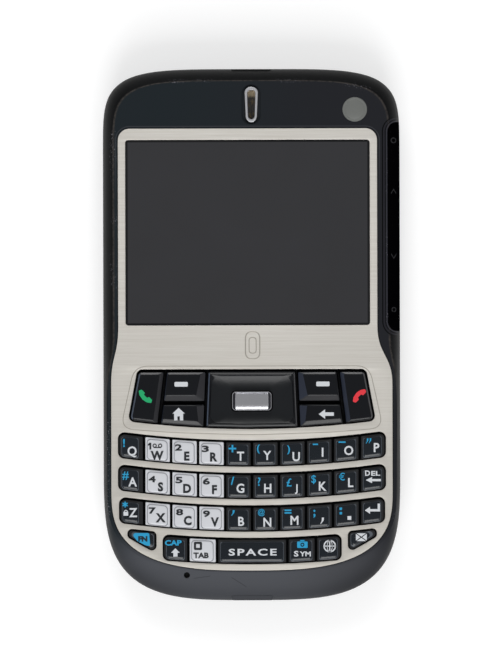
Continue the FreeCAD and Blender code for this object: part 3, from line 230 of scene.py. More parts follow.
give_material("nav_pad_rocker", moulded("silicone_web_moulded", "#16171a", "#1d1e21", 0.6, 0.25, 0.006, 0.2))


# Rear housing
# The back shell is moulded ABS with a fine spark-eroded grain; it holds the board, the battery
# and the camera, and four screws join it to the bezel.

give_material("rear_housing", moulded("abs_shell_satin_black", "#121316", "#18191d", 0.45, 0.22, 0.006, 0.12))


# Front bezel
# Satin black ABS: forehead, rim and chin in one moulding, with a crease that runs round it.
# The crease and the corners are rubbed bare by pockets and fingers.

def fade(put, *steps):
    """A share from 0 to 1, the product of smooth steps.

    A step is a value, where it starts and ends, and its results there if they aren't 0 and 1.
    """
    product = None
    for value, low, high, *results in steps:
        share = put("MapRange", (value, low, high, *results), interpolation_type="SMOOTHSTEP")
        product = share if product is None else put("Math", (product, share), operation="MULTIPLY")
    return product


def band(value, low, high, soft=0.05):
    """The two smooth steps of a narrow band of a value."""
    return (value, low - soft, low + soft), (value, high - soft, high + soft, 1.0, 0.0)


def beyond(put, in_mm, left, right, foot, top, corner):
    """How far a point lies outside a rounded outline, in mm."""
    centre = ((left + right) / 2, (foot + top) / 2, 0.0)
    # The last number keeps the height out of it.
    reach = ((right - left) / 2 - corner, (top - foot) / 2 - corner, 1000.0)
    past = in_mm
    for operation, *other in (("SUBTRACT", centre), ("ABSOLUTE",), ("SUBTRACT", reach)):
        past = put("VectorMath", (past, *other), operation=operation)
    outward = put("VectorMath", (past, (0.0, 0.0, 0.0)), operation="MAXIMUM")
    outside = put("VectorMath", (outward,), operation="LENGTH")
    x, y, _ = put("SeparateXYZ", (past,)).outputs
    inside = put("Math", (put("Math", (x, y), operation="MAXIMUM"), 0.0), operation="MINIMUM")
    return put("Math", (put("Math", (outside, inside), operation="ADD"), corner), operation="SUBTRACT")


# The recess for the touch strip, open at the side: its left, right, foot, top and corner.
strip_recess = (28.7, 40.0, 0.72, 44.62, 2.0)

bezel_black, put = new_material("abs_bezel_satin_black")
in_mm = place_in_mm(put)
axis = put("SeparateXYZ", (in_mm,)).outputs
off_centre = put("Math", (axis[0],), operation="ABSOLUTE")
ragged, specks, pockets, pits = [
    put("TexNoise", {"Vector": in_mm, "Scale": scale, "Detail": detail})
    for scale, detail in ((1.6, 4.0), (3.4, 3.0), (0.11, 2.0), (4.5, 2.0))]

# The crease is a rounded outline whose half-width grows by the flare below the window, and whose
# head curves round with the power of a superellipse.
crease_half, crease_flare, head_start, head_rise, power = 29.0, 1.4, 36.87, 16.55, 4.79
flare = fade(put, (axis[1], -11.0, -0.5, crease_flare, 0.0))
half_width = put("Math", (flare, crease_half), operation="ADD")
across = put("Math", (off_centre, half_width), operation="DIVIDE")
upward = put("MapRange", (axis[1], head_start, head_start + 2 * head_rise, 0.0, 2.0))
powers = [put("Math", (share, power), operation="POWER") for share in (across, upward)]
reach = put("Math", (put("Math", powers, operation="ADD"), 1 / power), operation="POWER")
crease = put("Math", (reach, crease_half, -crease_half), operation="MULTIPLY_ADD")
off_crease = put("Math", (crease,), operation="ABSOLUTE")

face = painted(put, "#1f2529", (fade(put, (axis[0], -20.0, 20.0)), "#222327"))
# The chin is painted lighter than the face, a painted highlight where it turns towards the light, and painted
# shade darkens it towards its right end.
chin = painted(put, "#494b50", (fade(put, (axis[0], 2.0, 30.0)), "#3a3b3f"))
on_chin = (axis[1], -49.0, -40.0, 1.0, 0.0)
rubbed = fade(put, (off_crease, 0.08, 0.3, 1.0, 0.0), (ragged, 0.35, 0.6, 0.35, 1.0), (axis[1], -14.0, -4.0))
scuffed = fade(put, (off_crease, 0.2, 1.1, 1.0, 0.0), (specks, 0.6, 0.66), (pockets, 0.5, 0.6))
# Beyond the crease the steep rim is painted near black, partly its darker finish and partly painted shade.
tone = painted(put, face, (fade(put, (crease, -0.25, 0.25)), "#0a0b0c"), (fade(put, on_chin), chin),
               (rubbed, "#3b3836"), (scuffed, "#6c6b72"))
# Two hair scratches cross the chin; each is a start and an end in mm.
for (ax, ay), (bx, by) in (((-12.6, -51.3), (-8.5, -50.7)), ((-4.6, -50.9), (-1.0, -53.2))):
    run = math.hypot(bx - ax, by - ay)
    from_start = put("Mapping", {"Vector": in_mm, "Location": (ax, ay, 0.0),
                                 "Rotation": (0.0, 0.0, math.atan2(by - ay, bx - ax))}, vector_type="TEXTURE")
    far, aside, _ = put("SeparateXYZ", (from_start,)).outputs
    aside = put("Math", (aside,), operation="ABSOLUTE")
    scratch = fade(put, (aside, 0.03, 0.14, 0.5, 0.0), (far, 0.0, 0.6), (far, run - 0.6, run, 1.0, 0.0))
    tone = painted(put, tone, (scratch, "#2a2b2e"))
# Painted shade darkens the moulding as it turns down towards the seam, though less so in mid chin.
seam_level, brow_level = 6.2, 11.9
risen = put("Math", (put("MapRange", (axis[2], seam_level, brow_level)), 1.6), operation="POWER")
middle = fade(put, on_chin, (off_centre, 10.0, 25.0, 1.0, 0.0))
depth = put("Math", (middle, -0.3, 0.78), operation="MULTIPLY_ADD")
shade = put("Math", (put("Math", (1.0, risen), operation="SUBTRACT"), depth), operation="MULTIPLY")
# Dust and shade have darkened the two narrow steps beside the strip's raised rim, and a painted highlight
# marks the edge of the recess that the faceplate lies in, stronger towards its top.
strip_gap = beyond(put, in_mm, *strip_recess)
plate_edge = beyond(put, in_mm, -28.13, 26.53, -80.0, 43.4, 2.5)
tone = painted(put, tone, (shade, "#000000"), (fade(put, *band(strip_gap, 0.42, 0.58)), "#0a0a0c"),
               (fade(put, *band(strip_gap, 1.0, 1.22)), "#040405"),
               (fade(put, *band(plate_edge, 0.34, 0.5), (axis[1], 25.0, 42.0)), "#3a3b3f"))
surface(put, {"Base Color": tone, "Roughness": fade(put, (pits, 0.0, 1.0, 0.42, 0.54)),
              "Specular IOR Level": 0.06}, pits, 0.006)
give_material("front_bezel", bezel_black)


# Faceplate
# Stamped aluminium sheet, brushed across and left its pale champagne colour, glued on the
# deck. Its holes are blanked with the edges turned slightly over.

def level_loops(node_name, level):
    """The closed outlines round the flat faces of a CAD node at one height, in mm."""
    mesh = nodes[node_name].data
    sides = set()
    for face in mesh.polygons:
        points = [mesh.vertices[i].co / MM for i in face.vertices]
        if all(abs(p.z - level) < 0.01 for p in points):
            ring = [(round(p.x, 3), round(p.y, 3)) for p in points]
            sides.update(zip(ring, ring[1:] + ring[:1]))
    following = {a: b for a, b in sides if (b, a) not in sides}
    loops = []
    while following:
        loop = [next(iter(following))]
        while loop[-1] in following:
            loop.append(following.pop(loop[-1]))
        loops.append(loop[:-1])
    return loops


def sheet_mesh(loops, low, high, edge=0.0, trim=0.0, steps=2):
    """A flat sheet between two heights from outlines and holes in mm, edges rounded and trimmed."""
    curve = bpy.data.curves.new("outline", "CURVE")
    curve.dimensions = "2D"
    curve.fill_mode = "BOTH"
    curve.extrude = (high - low) / 2 * MM - edge * MM
    curve.bevel_depth = edge * MM
    curve.bevel_resolution = steps
    curve.offset = -(edge + trim) * MM
    for loop in loops:
        line = curve.splines.new("POLY")
        line.points.add(len(loop) - 1)
        for point, (x, y) in zip(line.points, loop):
            point.co = (x * MM, y * MM, 0, 1)
        line.use_cyclic_u = True
    holder = bpy.data.objects.new("outline", curve)
    mesh = bpy.data.meshes.new_from_object(holder)
    bpy.data.objects.remove(holder)
    bpy.data.curves.remove(curve)
    mesh.transform(Matrix.Translation((0, 0, (low + high) / 2 * MM)))
    return mesh


def join_pieces(name, parts, sharp=35):
    """One object from meshes and their materials, merged, shaded smooth except where it is level."""
    whole = bmesh.new()
    materials = []
    for mesh, *finishes in parts:
        materials += [finish for finish in finishes if finish not in materials]
        start = len(whole.faces)
        whole.from_mesh(mesh)
        whole.faces.ensure_lookup_table()
        for face in whole.faces[start:]:
            face.material_index = materials.index(finishes[min(face.material_index, len(finishes) - 1)])
    bmesh.ops.remove_doubles(whole, verts=whole.verts, dist=1e-7)
    bmesh.ops.recalc_face_normals(whole, faces=whole.faces)
    for face in whole.faces:
        face.smooth = abs(face.normal.z) < 0.9999
    result = bpy.data.meshes.new(name)
    whole.to_mesh(result)
    whole.free()
    result.set_sharp_from_angle(angle=math.radians(sharp))
    for material in materials:
        result.materials.append(material)
    piece = bpy.data.objects.new(name, result)
    scene.collection.objects.link(piece)
    return piece


# Brushing lines about 0.1 mm apart run across the phone; 0.12 mm is drawn, so that they show.
brushed_plate, put = new_material("aluminium_sheet_brushed")
in_mm = place_in_mm(put)
noises = []
for length, width, detail, rough in ((11.0, 0.12, 4.0, 0.75), (30.0, 0.5, 2.0, 0.5)):
    drawn_out = put("Mapping", {"Vector": in_mm, "Scale": (1 / length, 1 / width, 0.0)})
    noises.append(put("TexNoise", {"Vector": drawn_out, "Scale": 1.0, "Detail": detail, "Roughness": rough}))
lines, bands = noises
soiled = put("TexNoise", {"Vector": in_mm, "Scale": 1 / 22.0, "Detail": 2.0})
mixed = put("Math", (bands, 0.5, lines), operation="MULTIPLY_ADD")
mixed = put("Math", (soiled, 0.3, mixed), operation="MULTIPLY_ADD")
# Painted shade: the sheet is painted darker towards its foot.
height = put("SeparateXYZ", (in_mm,)).outputs["Y"]
tone = painted(put, "#d1ccc3", (put("MapRange", (mixed, 0.6, 1.2)), "#e8e5df"),
               (fade(put, (height, -34.0, 4.0, 0.5, 0.0)), "#bcb8b0"))
rough = put("MapRange", {"Value": lines, "To Min": 0.5, "To Max": 0.62})
surface(put, {"Base Color": tone, "Roughness": rough, "Metallic": 0.7}, lines, 0.003)

plate_low, plate_face = 11.68, 12.18
plate_loops = level_loops("faceplate", plate_face)


def bead(points, width, low, high):
    """A low rounded bead along a closed outline in mm, as a stamped line stands up."""
    rings = []
    for aside, level in ((width / 2, low), (width / 4, high), (-width / 4, high), (-width / 2, low)):
        ring = []
        for (ax, ay), (x, y), (bx, by) in zip(points[-1:] + points[:-1], points, points[1:] + points[:1]):
            run = math.hypot(bx - ax, by - ay)
            ring.append((x + (by - ay) / run * aside, y - (bx - ax) / run * aside, level))
        rings.append(ring)
    return rings


def ring_mesh(rings, closed_top=True, bands=None, bend_radius=0.0):
    """A closed skin over rings of equal count; some bands take another finish by its number.

    An open top joins the last ring to the first. A bend radius lifts the piece as the rows rise.
    """
    shape = bmesh.new()
    lift = 1 / (2 * bend_radius) if bend_radius else 0.0
    columns = [[shape.verts.new((x * MM, (y + lift * x * x) * MM, z * MM)) for x, y, z in ring]
               for ring in rings]
    if not closed_top:
        columns.append(columns[0])
    for number, (low, high) in enumerate(zip(columns, columns[1:])):
        for i in range(len(low)):
            j = (i + 1) % len(low)
            face = shape.faces.new((low[i], low[j], high[j], high[i]))
            face.material_index = (bands or {}).get(number, 0)
    if closed_top:
        shape.faces.new(columns[0][::-1])
        shape.faces.new(columns[-1])
    bmesh.ops.remove_doubles(shape, verts=shape.verts, dist=1e-7)
    mesh = bpy.data.meshes.new("skin")
    shape.to_mesh(mesh)
    shape.free()
    return mesh


def smooth_outline(corners, radius, steps=8):
    """A closed outline in mm with its corners rounded."""
    points = []
    for (ax, ay), (x, y), (bx, by) in zip(corners[-1:] + corners[:-1], corners, corners[1:] + corners[:1]):
        before, after = Vector((ax - x, ay - y)).normalized(), Vector((bx - x, by - y)).normalized()
        start, end, tip = Vector((x, y)) + before * radius, Vector((x, y)) + after * radius, Vector((x, y))
        for step in range(steps + 1):
            t = step / steps
            points.append(tuple(start * (1 - t) ** 2 + tip * 2 * t * (1 - t) + end * t * t))
    return points


scribed_line, put = new_material("aluminium_sheet_stamped_line")
patches = put("TexNoise", {"Vector": place_in_mm(put), "Scale": 1 / 3.0, "Detail": 2.0})
surface(put, {"Base Color": painted(put, "#a39e95", (patches, "#b4afa6")),
              "Roughness": 0.55, "Metallic": 0.7})

# A stamped line runs round the navigation keys, and a small rounded one round another above them.
nav_line = [(24.7, -6.6), (27.6, -19.7), (17.0, -20.55), (0.0, -21.1), (-17.0, -20.55), (-27.6, -19.7),
            (-24.7, -6.6)]
outer_line = [(1.7, 0.6), (1.7, -5.1), (-1.3, -5.1), (-1.3, 0.6)]
inner_line = [(0.95, -0.6), (0.95, -3.9), (-0.55, -3.9), (-0.55, -0.6)]
stamped = []
for corners, radius, width in ((nav_line, 2.8, 0.2), (outer_line, 1.4, 0.3), (inner_line, 0.7, 0.24)):
    rings = bead(smooth_outline(corners, radius), width, plate_face - 0.02, plate_face + 0.03)
    stamped.append((ring_mesh(rings, False), scribed_line))
sheet = sheet_mesh(plate_loops, plate_low, plate_face, 0.07, 0.07)
plate = join_pieces("brushed_faceplate", [(sheet, brushed_plate), *stamped])
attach(plate, "phone")
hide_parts("faceplate")


# Display window
# A clear acrylic window with a black mask printed round its edge, flush in the plate over a
# display that is switched off and looks dark grey.

window_dark, put = new_material("acrylic_window_dark")
in_mm = place_in_mm(put)
haze = put("TexNoise", {"Vector": in_mm, "Scale": 0.08, "Detail": 2.0})
smears = put("TexNoise", {"Vector": in_mm, "Scale": 0.3, "Detail": 3.0})
edge = beyond(put, in_mm, -26.36, 24.76, 2.1, 40.84, 0.5)
tone = painted(put, "#303032", (haze, "#333336"), (fade(put, (edge, -0.42, -0.3)), "#141416"))
surface(put, {"Base Color": tone, "Roughness": fade(put, (smears, 0.2, 0.8, 0.07, 0.13)),
              "Specular IOR Level": 0.35})
give_material("display_window", window_dark)


# Touch strip
# A polished black strip let into the right-hand rim, which senses a finger that slides on it.
# Its faint marks are printed under the polish.

strip_black, put = new_material("polished_strip_black")
in_mm = place_in_mm(put)
axis = put("SeparateXYZ", (in_mm,)).outputs
dust = put("TexNoise", {"Vector": in_mm, "Scale": 2.6, "Detail": 3.0})
flat_place = put("VectorMath", (in_mm, (1.0, 1.0, 0.0)), operation="MULTIPLY")
mark_x = 29.95
aside = put("Math", (put("Math", (axis[0], mark_x), operation="SUBTRACT"),), operation="ABSOLUTE")
marks = []
# An arrowhead up, an arrowhead down and two small rings, at their heights on the phone.
for height, slant in ((30.5, 1.6), (16.0, -1.6)):
    along = put("Math", (aside, slant, axis[1]), operation="MULTIPLY_ADD")
    marks.append((*band(along, height - 0.16, height + 0.16), (aside, 0.5, 0.6, 1.0, 0.0)))
for height, radius in ((40.8, 0.5), (5.2, 0.42)):
    away = put("VectorMath", (flat_place, (mark_x, height, 0.0)), operation="DISTANCE")
    marks.append(band(away, radius - 0.1, radius + 0.1))
worn = (dust, 0.3, 0.65, 0.35, 1.0)
tone = painted(put, "#030304", *[(fade(put, *mark, worn), "#3a3a3c") for mark in marks],
               (fade(put, (dust, 0.7, 0.74)), "#242426"))
surface(put, {"Base Color": tone, "Roughness": fade(put, (dust, 0.2, 0.8, 0.16, 0.24)),
              "Specular IOR Level": 0.0})
give_material("touch_strip", strip_black)

bezel_mesh = nodes["front_bezel"].data
bezel_skin = BVHTree.FromPolygons([v.co for v in bezel_mesh.vertices],
                                  [face.vertices for face in bezel_mesh.polygons])


def on_bezel(x, y, lift):
    """A point above the bezel's face, in mm."""
    hit = bezel_skin.ray_cast(Vector((x * MM, y * MM, 20 * MM)), Vector((0, 0, -1)))[0]
    return (x, y, hit.z / MM + lift)


def rim_bead(gap, width, height):
    """A raised line round the strip's recess, open towards the side of the phone."""
    left, _, foot, top, corner = strip_recess
    side, reach, straight = 31.0, corner + gap, top - foot - 2 * corner
    line = [(side, top + gap, 0.0, 1.0)]
    for middle_y, first in ((top - corner, 90), (foot + corner, 180)):
        for step in range(13):
            angle = math.radians(first + 7.5 * step)
            out_x, out_y = math.cos(angle), math.sin(angle)
            line.append((left + corner + reach * out_x, middle_y + reach * out_y, out_x, out_y))
        if first == 90:
            line += [(left - gap, middle_y - straight * step / 24, -1.0, 0.0) for step in range(1, 24)]
    line.append((side, foot - gap, 0.0, -1.0))
    rings = []
    for x, y, out_x, out_y in line:
        rings.append([on_bezel(x + out_x * aside, y + out_y * aside, lift) for aside, lift in
                      ((-width / 2, -0.03), (-width / 4, height), (width / 4, height), (width / 2, -0.03))])
    return ring_mesh(rings)


# The inner bead is painted lighter than the outer one, a painted highlight.
rim_highlight = moulded("abs_strip_rim_painted_highlight", "#3c3c44", "#34343b", 0.45, 0.2, 0.003, 0.06)
rim_dark = moulded("abs_strip_rim_dark", "#26262c", "#212126", 0.48, 0.2, 0.003, 0.06)
strip_rim = join_pieces("strip_rim", [(rim_bead(0.23, 0.22, 0.04), rim_highlight),
                                      (rim_bead(0.79, 0.38, 0.05), rim_dark)])
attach(strip_rim, "phone")


# Earpiece
# A chromed ring pressed into a recess, the gap round it a near-black ring of painted shade, a woven
# wire mesh behind its slot, and the sound capsule under it.

def stadium(half_width, half_length, x, y, level, count=40, taper=0.0):
    """A ring of points round a slot with round ends, which may narrow towards its foot, in mm."""
    straight = half_length - half_width
    ring = []
    for step in range(count):
        angle = 2 * math.pi * (step + 0.5) / count
        up = (straight if math.sin(angle) > 0 else -straight) + half_width * math.sin(angle)
        across = half_width * math.cos(angle) * (1 + taper * up / half_length)
        ring.append((x + across, y + up, level))
    return ring


chrome = moulded("chromed_trim", "#dadade", "#cfcfd4", 0.24, 0.4, 0.0004, metallic=1.0)
satin_chrome = moulded("chromed_ring_satin", "#e6e6ea", "#dcdce0", 0.38, 0.3, 0.001, metallic=1.0)
shade_black = moulded("recess_painted_shade_black", "#050506", "#08080a", 0.6, 0.2, 0.004, 0.2)
# Worn wire: brown specks on black, rubbed to a pale tan at the mesh's head.
mesh_bronze, put = new_material("wire_mesh_bronze")
in_mm = place_in_mm(put)
up = put("SeparateXYZ", (in_mm,)).outputs["Y"]
specks = put("TexNoise", {"Vector": in_mm, "Scale": 1.5, "Detail": 3.0})
tone = painted(put, "#0b0806", (fade(put, (specks, 0.5, 0.66)), "#5a4a2a"),
               (fade(put, (up, 49.7, 50.5)), "#a8987c"))
surface(put, {"Base Color": tone, "Roughness": fade(put, (specks, 0.2, 0.8, 0.45, 0.55)),
              "Specular IOR Level": 0.3})

# Each ring of these parts is a half-width, a half-length and a level.
ear_x, ear_y, ear_taper, recess_y = 0.04, 48.4, 0.13, 48.43
ring_profile = [(1.3, 3.74, 11.0), (1.3, 3.74, 11.92), (1.26, 3.7, 12.02), (1.18, 3.6, 12.05),
                (0.86, 3.2, 12.03), (0.76, 3.08, 11.9), (0.72, 3.04, 11.6), (0.7, 3.0, 11.0)]
ear_ring = ring_mesh([stadium(w, l, ear_x, ear_y, z, 48, ear_taper) for w, l, z in ring_profile], False)
# A near-black ring fills the gap round the chromed ring: painted shade in that gap.
shade_ring_profile = [(1.99, 4.19, 10.9), (1.99, 4.19, 11.6), (1.46, 3.8, 11.4), (1.46, 3.8, 10.9)]
shade_ring = ring_mesh([stadium(w, l, 0, recess_y, z) for w, l, z in shade_ring_profile], False)
capsule_profile = [(3.2, 4.0, 9.1), (3.45, 4.18, 9.3), (3.45, 4.18, 10.6), (3.2, 4.0, 10.85)]
capsule = ring_mesh([stadium(w, l, 0, recess_y, z) for w, l, z in capsule_profile])
cap_black = moulded("capsule_case_black", "#1b1c1f", "#232427", 0.5, 0.3, 0.004)


def geometry_tree(name, *inputs):
    """A geometry tree with inputs of a name, a kind and perhaps a value, and what fills it."""
    tree = bpy.data.node_groups.new(name, "GeometryNodeTree")
    for label, kind, *value in inputs:
        socket = tree.interface.new_socket(label, in_out="INPUT", socket_type="NodeSocket" + kind)
        if value:
            socket.default_value = value[0]
    tree.interface.new_socket("Geometry", in_out="OUTPUT", socket_type="NodeSocketGeometry")
    put = partial(add_node, tree)
    return tree, put, put("NodeGroupInput").outputs


wire_tree, weave, sizes = geometry_tree(
    "woven_mesh", ("Width", "Float", 1.6 * MM), ("Length", "Float", 6.0 * MM), ("Pitch", "Float", 0.24 * MM),
    ("Wire", "Float", 0.05 * MM), ("Finish", "Material"))


def wires(extent, run, crossways, drop):
    """One set of the mesh's wires: the run is each wire's length, the extent where they stand."""
    sideways = "Y" if crossways else "X"
    count = weave("Math", (extent, sizes["Pitch"]), operation="DIVIDE")
    half_back = weave("Math", (extent, -0.5), operation="MULTIPLY")
    stands = weave("GeometryNodeMeshLine", {
        "Count": weave("FunctionNodeFloatToInt", (count,)),
        "Start Location": weave("CombineXYZ", {sideways: half_back, "Z": drop}),
        "Offset": weave("CombineXYZ", {sideways: sizes["Pitch"]})})
    wire = weave("GeometryNodeMeshCylinder", {"Vertices": 6, "Radius": sizes["Wire"], "Depth": run})
    angle = (0, math.pi / 2, 0) if crossways else (math.pi / 2, 0, 0)
    laid = weave("GeometryNodeTransform", {"Geometry": wire, "Rotation": angle})
    set_out = weave("GeometryNodeInstanceOnPoints", {"Points": stands, "Instance": laid})
    return weave("GeometryNodeRealizeInstances", (set_out,))


joined = weave("GeometryNodeJoinGeometry")
for strands in (wires(sizes["Width"], sizes["Length"], False, -0.08 * MM),
                wires(sizes["Length"], sizes["Width"], True, 0.0)):
    wire_tree.links.new(strands.outputs[0], joined.inputs[0])
finished = weave("GeometryNodeSetMaterial", {"Geometry": joined, "Material": sizes["Finish"]})
weave("NodeGroupOutput", (finished,))


def grown(tree, base=None, **values):
    """The plain mesh that a geometry tree makes from a base with the given inputs."""
    holder = bpy.data.objects.new("grown", base or bpy.data.meshes.new("grown"))
    scene.collection.objects.link(holder)
    modifier = holder.modifiers.new("grown", "NODES")
    modifier.node_group = tree
    for item in tree.interface.items_tree:
        if item.name in values:
            modifier[item.identifier] = values[item.name]
    evaluated = holder.evaluated_get(bpy.context.evaluated_depsgraph_get())
    mesh = bpy.data.meshes.new_from_object(evaluated)
    bpy.data.objects.remove(holder)
    return mesh


wire_mesh = grown(wire_tree, Width=1.6 * MM, Length=6.0 * MM, Finish=mesh_bronze)
wire_mesh.transform(Matrix.Translation((ear_x * MM, ear_y * MM, 11.4 * MM)))
earpiece = join_pieces("earpiece_assembly", [(ear_ring, satin_chrome), (shade_ring, shade_black),
                                             (wire_mesh, mesh_bronze), (capsule, cap_black)])
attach(earpiece, "phone")
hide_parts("earpiece")


# Round badge
# A satin grey printed disc with a fine raised edge, glued in a shallow recess of the forehead.

badge_grey = moulded("printed_disc_satin_grey", "#666865", "#6e706d", 0.45, 0.2, 0.002, 0.3)
badge_x, badge_y, badge_radius = 21.8, 47.325, 2.58
badge_profile = [(badge_radius, 11.95), (badge_radius, 12.02), (badge_radius - 0.08, 12.06),
                 (badge_radius - 0.45, 12.06), (badge_radius - 0.5, 12.03), (badge_radius - 0.55, 12.06),
                 (0.6, 12.07)]
badge_rings = [stadium(r, r, badge_x, badge_y, z, 64) for r, z in badge_profile]
badge = join_pieces("round_badge", [(ring_mesh(badge_rings), badge_grey)])
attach(badge, "phone")


# Microphone shade cup and socket lip
# A near-black cup in the microphone's hole in the chin, painted shade that darkens the hole, and
# the soft black lip that frames the mouth of the charging socket, flush with the end of the shell.

mic_x, mic_y = -13.75, -50.6
mic_rings = [stadium(r, r, mic_x, mic_y, z, 24) for r, z in
             ((0.62, 10.6), (0.62, 11.55), (0.56, 11.6), (0.5, 11.0), (0.1, 10.95))]
mic_shade_cup = join_pieces("microphone_gasket", [(ring_mesh(mic_rings), shade_black)])
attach(mic_shade_cup, "phone")


def oblong(left, right, foot, top, spread=0.0):
    """The corners of an oblong that may be spread outwards, in mm."""
    left, right, foot, top = left - spread, right + spread, foot - spread, top + spread
    return [(left, foot), (right, foot), (right, top), (left, top)]


# The lip's rings run from its root in the shell, over its rounded edge and into the mouth: how far
# each lies outside the opening and how far behind the end of the shell.
mouth = (-4.1, 4.1, 4.6, 8.5)
lip_rings = []
for spread, depth in ((0.55, 1.0), (0.3, 0.4), (0.12, 0.1), (0.0, 0.01), (-0.15, 0.01), (-0.28, 0.15),
                      (-0.28, 1.2)):
    outline = smooth_outline(oblong(*mouth, spread), 0.75, 6)
    lip_rings.append([(x, cad_box[0].y / MM + depth, z) for x, z in outline])
socket_lip = join_pieces("socket_lip", [(ring_mesh(lip_rings, False), bezel_black)])
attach(socket_lip, "phone")


# Letter keys
# Moulded acrylic caps on the silicone mat, each a low domed plateau with a narrow ledge round it.
# The letters are printed on top in thick ink: white and blue on dark keys, dark on silver ones.

row_bend = 204.0
key_top, dome_drop, print_top = 12.785, 0.07, 12.799
stem_foot, flange_foot, flange_top = 10.0, 10.35, 10.85


def bend(x):
    """How far the keyboard's rows rise at x, in mm."""
    return x * x / (2 * row_bend)


def stems(node_name, head=10.4):
    """The round stems under a cap that press its domes, each with its finish."""
    return [(ring_mesh([[(x, y, z) for x, y in loop] for z in (stem_foot, head)]), skirt_shade)
            for loop in level_loops(node_name, stem_foot)]


def cap_outline(node_name, level=12.45, bent=True):
    """The convex outline of a key's cap in mm, anticlockwise, with the row's bend taken out."""
    points = sorted({(round(v.co.x / MM, 3), round(v.co.y / MM - bent * bend(v.co.x / MM), 3))
                     for v in nodes[node_name].data.vertices if abs(v.co.z / MM - level) < 0.01})

    def half_outline(ordered):
        """One side of the outline, from points in order from end to end."""
        kept = []
        for x, y in ordered:
            while len(kept) > 1 and ((kept[-1][0] - kept[-2][0]) * (y - kept[-2][1])
                                     <= (kept[-1][1] - kept[-2][1]) * (x - kept[-2][0])):
                kept.pop()
            kept.append((x, y))
        return kept[:-1]

    return half_outline(points) + half_outline(points[::-1])


def pull_in(outline, left, right, foot, top):
    """A convex outline pulled in by its own distance on each side, cut along every edge."""
    kept = list(outline)
    for (x1, y1), (x2, y2) in zip(outline, outline[1:] + outline[:1]):
        length = math.hypot(x2 - x1, y2 - y1)
        nx, ny = (y2 - y1) / length, (x1 - x2) / length
        distance = (right if nx > 0 else left) * nx * nx + (top if ny > 0 else foot) * ny * ny
        limit = nx * x1 + ny * y1 - distance
        trimmed = []
        for (ax, ay), (bx, by) in zip(kept, kept[1:] + kept[:1]):
            a, b = nx * ax + ny * ay - limit, nx * bx + ny * by - limit
            if a <= 0:
                trimmed.append((ax, ay))
            if a * b < 0:
                trimmed.append((ax + (bx - ax) * a / (a - b), ay + (by - ay) * a / (a - b)))
        kept = trimmed
    return kept


def rounded_ring(outline, insets, corner, level, top_lift=0.0, count=40):
    """A ring of points at one height, or higher at its top: the outline pulled in and rounded."""
    core = pull_in(outline, *[inset + corner for inset in insets])
    ring = []
    for step in range(count):
        dx, dy = math.cos(2 * math.pi * step / count), math.sin(2 * math.pi * step / count)
        x, y = max(core, key=lambda p: p[0] * dx + p[1] * dy)
        ring.append((x + corner * dx, y + corner * dy, level + top_lift * max(0.0, dy) ** 2))
    return ring


def even(inset):
    """The same inset on all four sides."""
    return (inset, inset, inset, inset)


def domed(ring, drop, shares=(0.85, 0.7, 0.5, 0.25)):
    """Rings inside another one that rise from it as a low dome."""
    x0, y0 = (sum(point[axis] for point in ring) / len(ring) for axis in (0, 1))
    return [[(x0 + (x - x0) * share, y0 + (y - y0) * share, z + drop * (1 - share * share))
             for x, y, z in ring] for share in shares]


def key_rings(outline, groove, slope, corner, top_gap):
    """The rings of a key: flange, side, ledge, groove, slope and domed plateau."""
    flange = (0, 0, -0.5, -0.5)
    inner = [g + s for g, s in zip(groove, slope)]
    line = [g + 0.08 for g in groove]
    edge = key_top - dome_drop
    steps = [(flange, 0.1, flange_foot), (flange, 0.1, flange_top), (even(0), 0.2, flange_top),
             ((0.04, 0.04, 0.04, top_gap - 0.1), 0.2, 12.2),
             ((0.12, 0.12, 0.08, top_gap - 0.04), 0.22, 12.36),
             ((0.19, 0.19, 0.12, top_gap), 0.24, 12.43), (groove, corner, 12.45), (line, corner, 12.4),
             ([n + 0.06 for n in line], corner, 12.48), ([n - 0.1 for n in inner], corner, edge - 0.03),
             (inner, corner, edge - 0.005), ([n + 0.12 for n in inner], corner, edge + 0.008)]
    rings = [rounded_ring(outline, *step) for step in steps]
    return rings + domed(rings[-1], dome_drop - 0.008)


dark_key = moulded("acrylic_key_dark", "#0b1219", "#0e161e", 0.26, 0.25, 0.001, 0.45)
dark_ledge = moulded("acrylic_key_dark_ledge", "#18191b", "#212224", 0.42, 0.2, 0.002, 0.3)
silver_key = moulded("acrylic_key_silver", "#c9cbd0", "#d2d3d7", 0.32, 0.25, 0.001, 0.5)
# The keys' sides, stems and wings are painted near black: painted shade in the gaps between the keys.
skirt_shade = moulded("acrylic_key_skirt_painted_shade", "#050607", "#08090a", 0.5, 0.25, 0.001, 0.1)
# The grooves round the silver keys' plateaus are painted grey, painted shade.
silver_shade_line = moulded("silver_key_painted_shade_line", "#8b8d93", "#9c9ea4", 0.4, 0.25, 0.001, 0.4)
# The lines round the dark keys' plateaus are painted light, a painted highlight on their groove.
dark_key_highlight_line = moulded("dark_key_painted_highlight_line", "#4b5057", "#5c6168", 0.25, 0.25, 0.001, 0.5)
white_print = moulded("key_print_white", "#d3d6da", "#cbced2", 0.4, 0.2, 0.0005)
blue_print = moulded("key_print_blue", "#1b90bf", "#259cc9", 0.4, 0.2, 0.0005)
dark_print = moulded("key_print_dark", "#15181d", "#1e2227", 0.4, 0.2, 0.0005)

print_half, font_capital, font_narrowing = 0.05, 0.729, 0.93


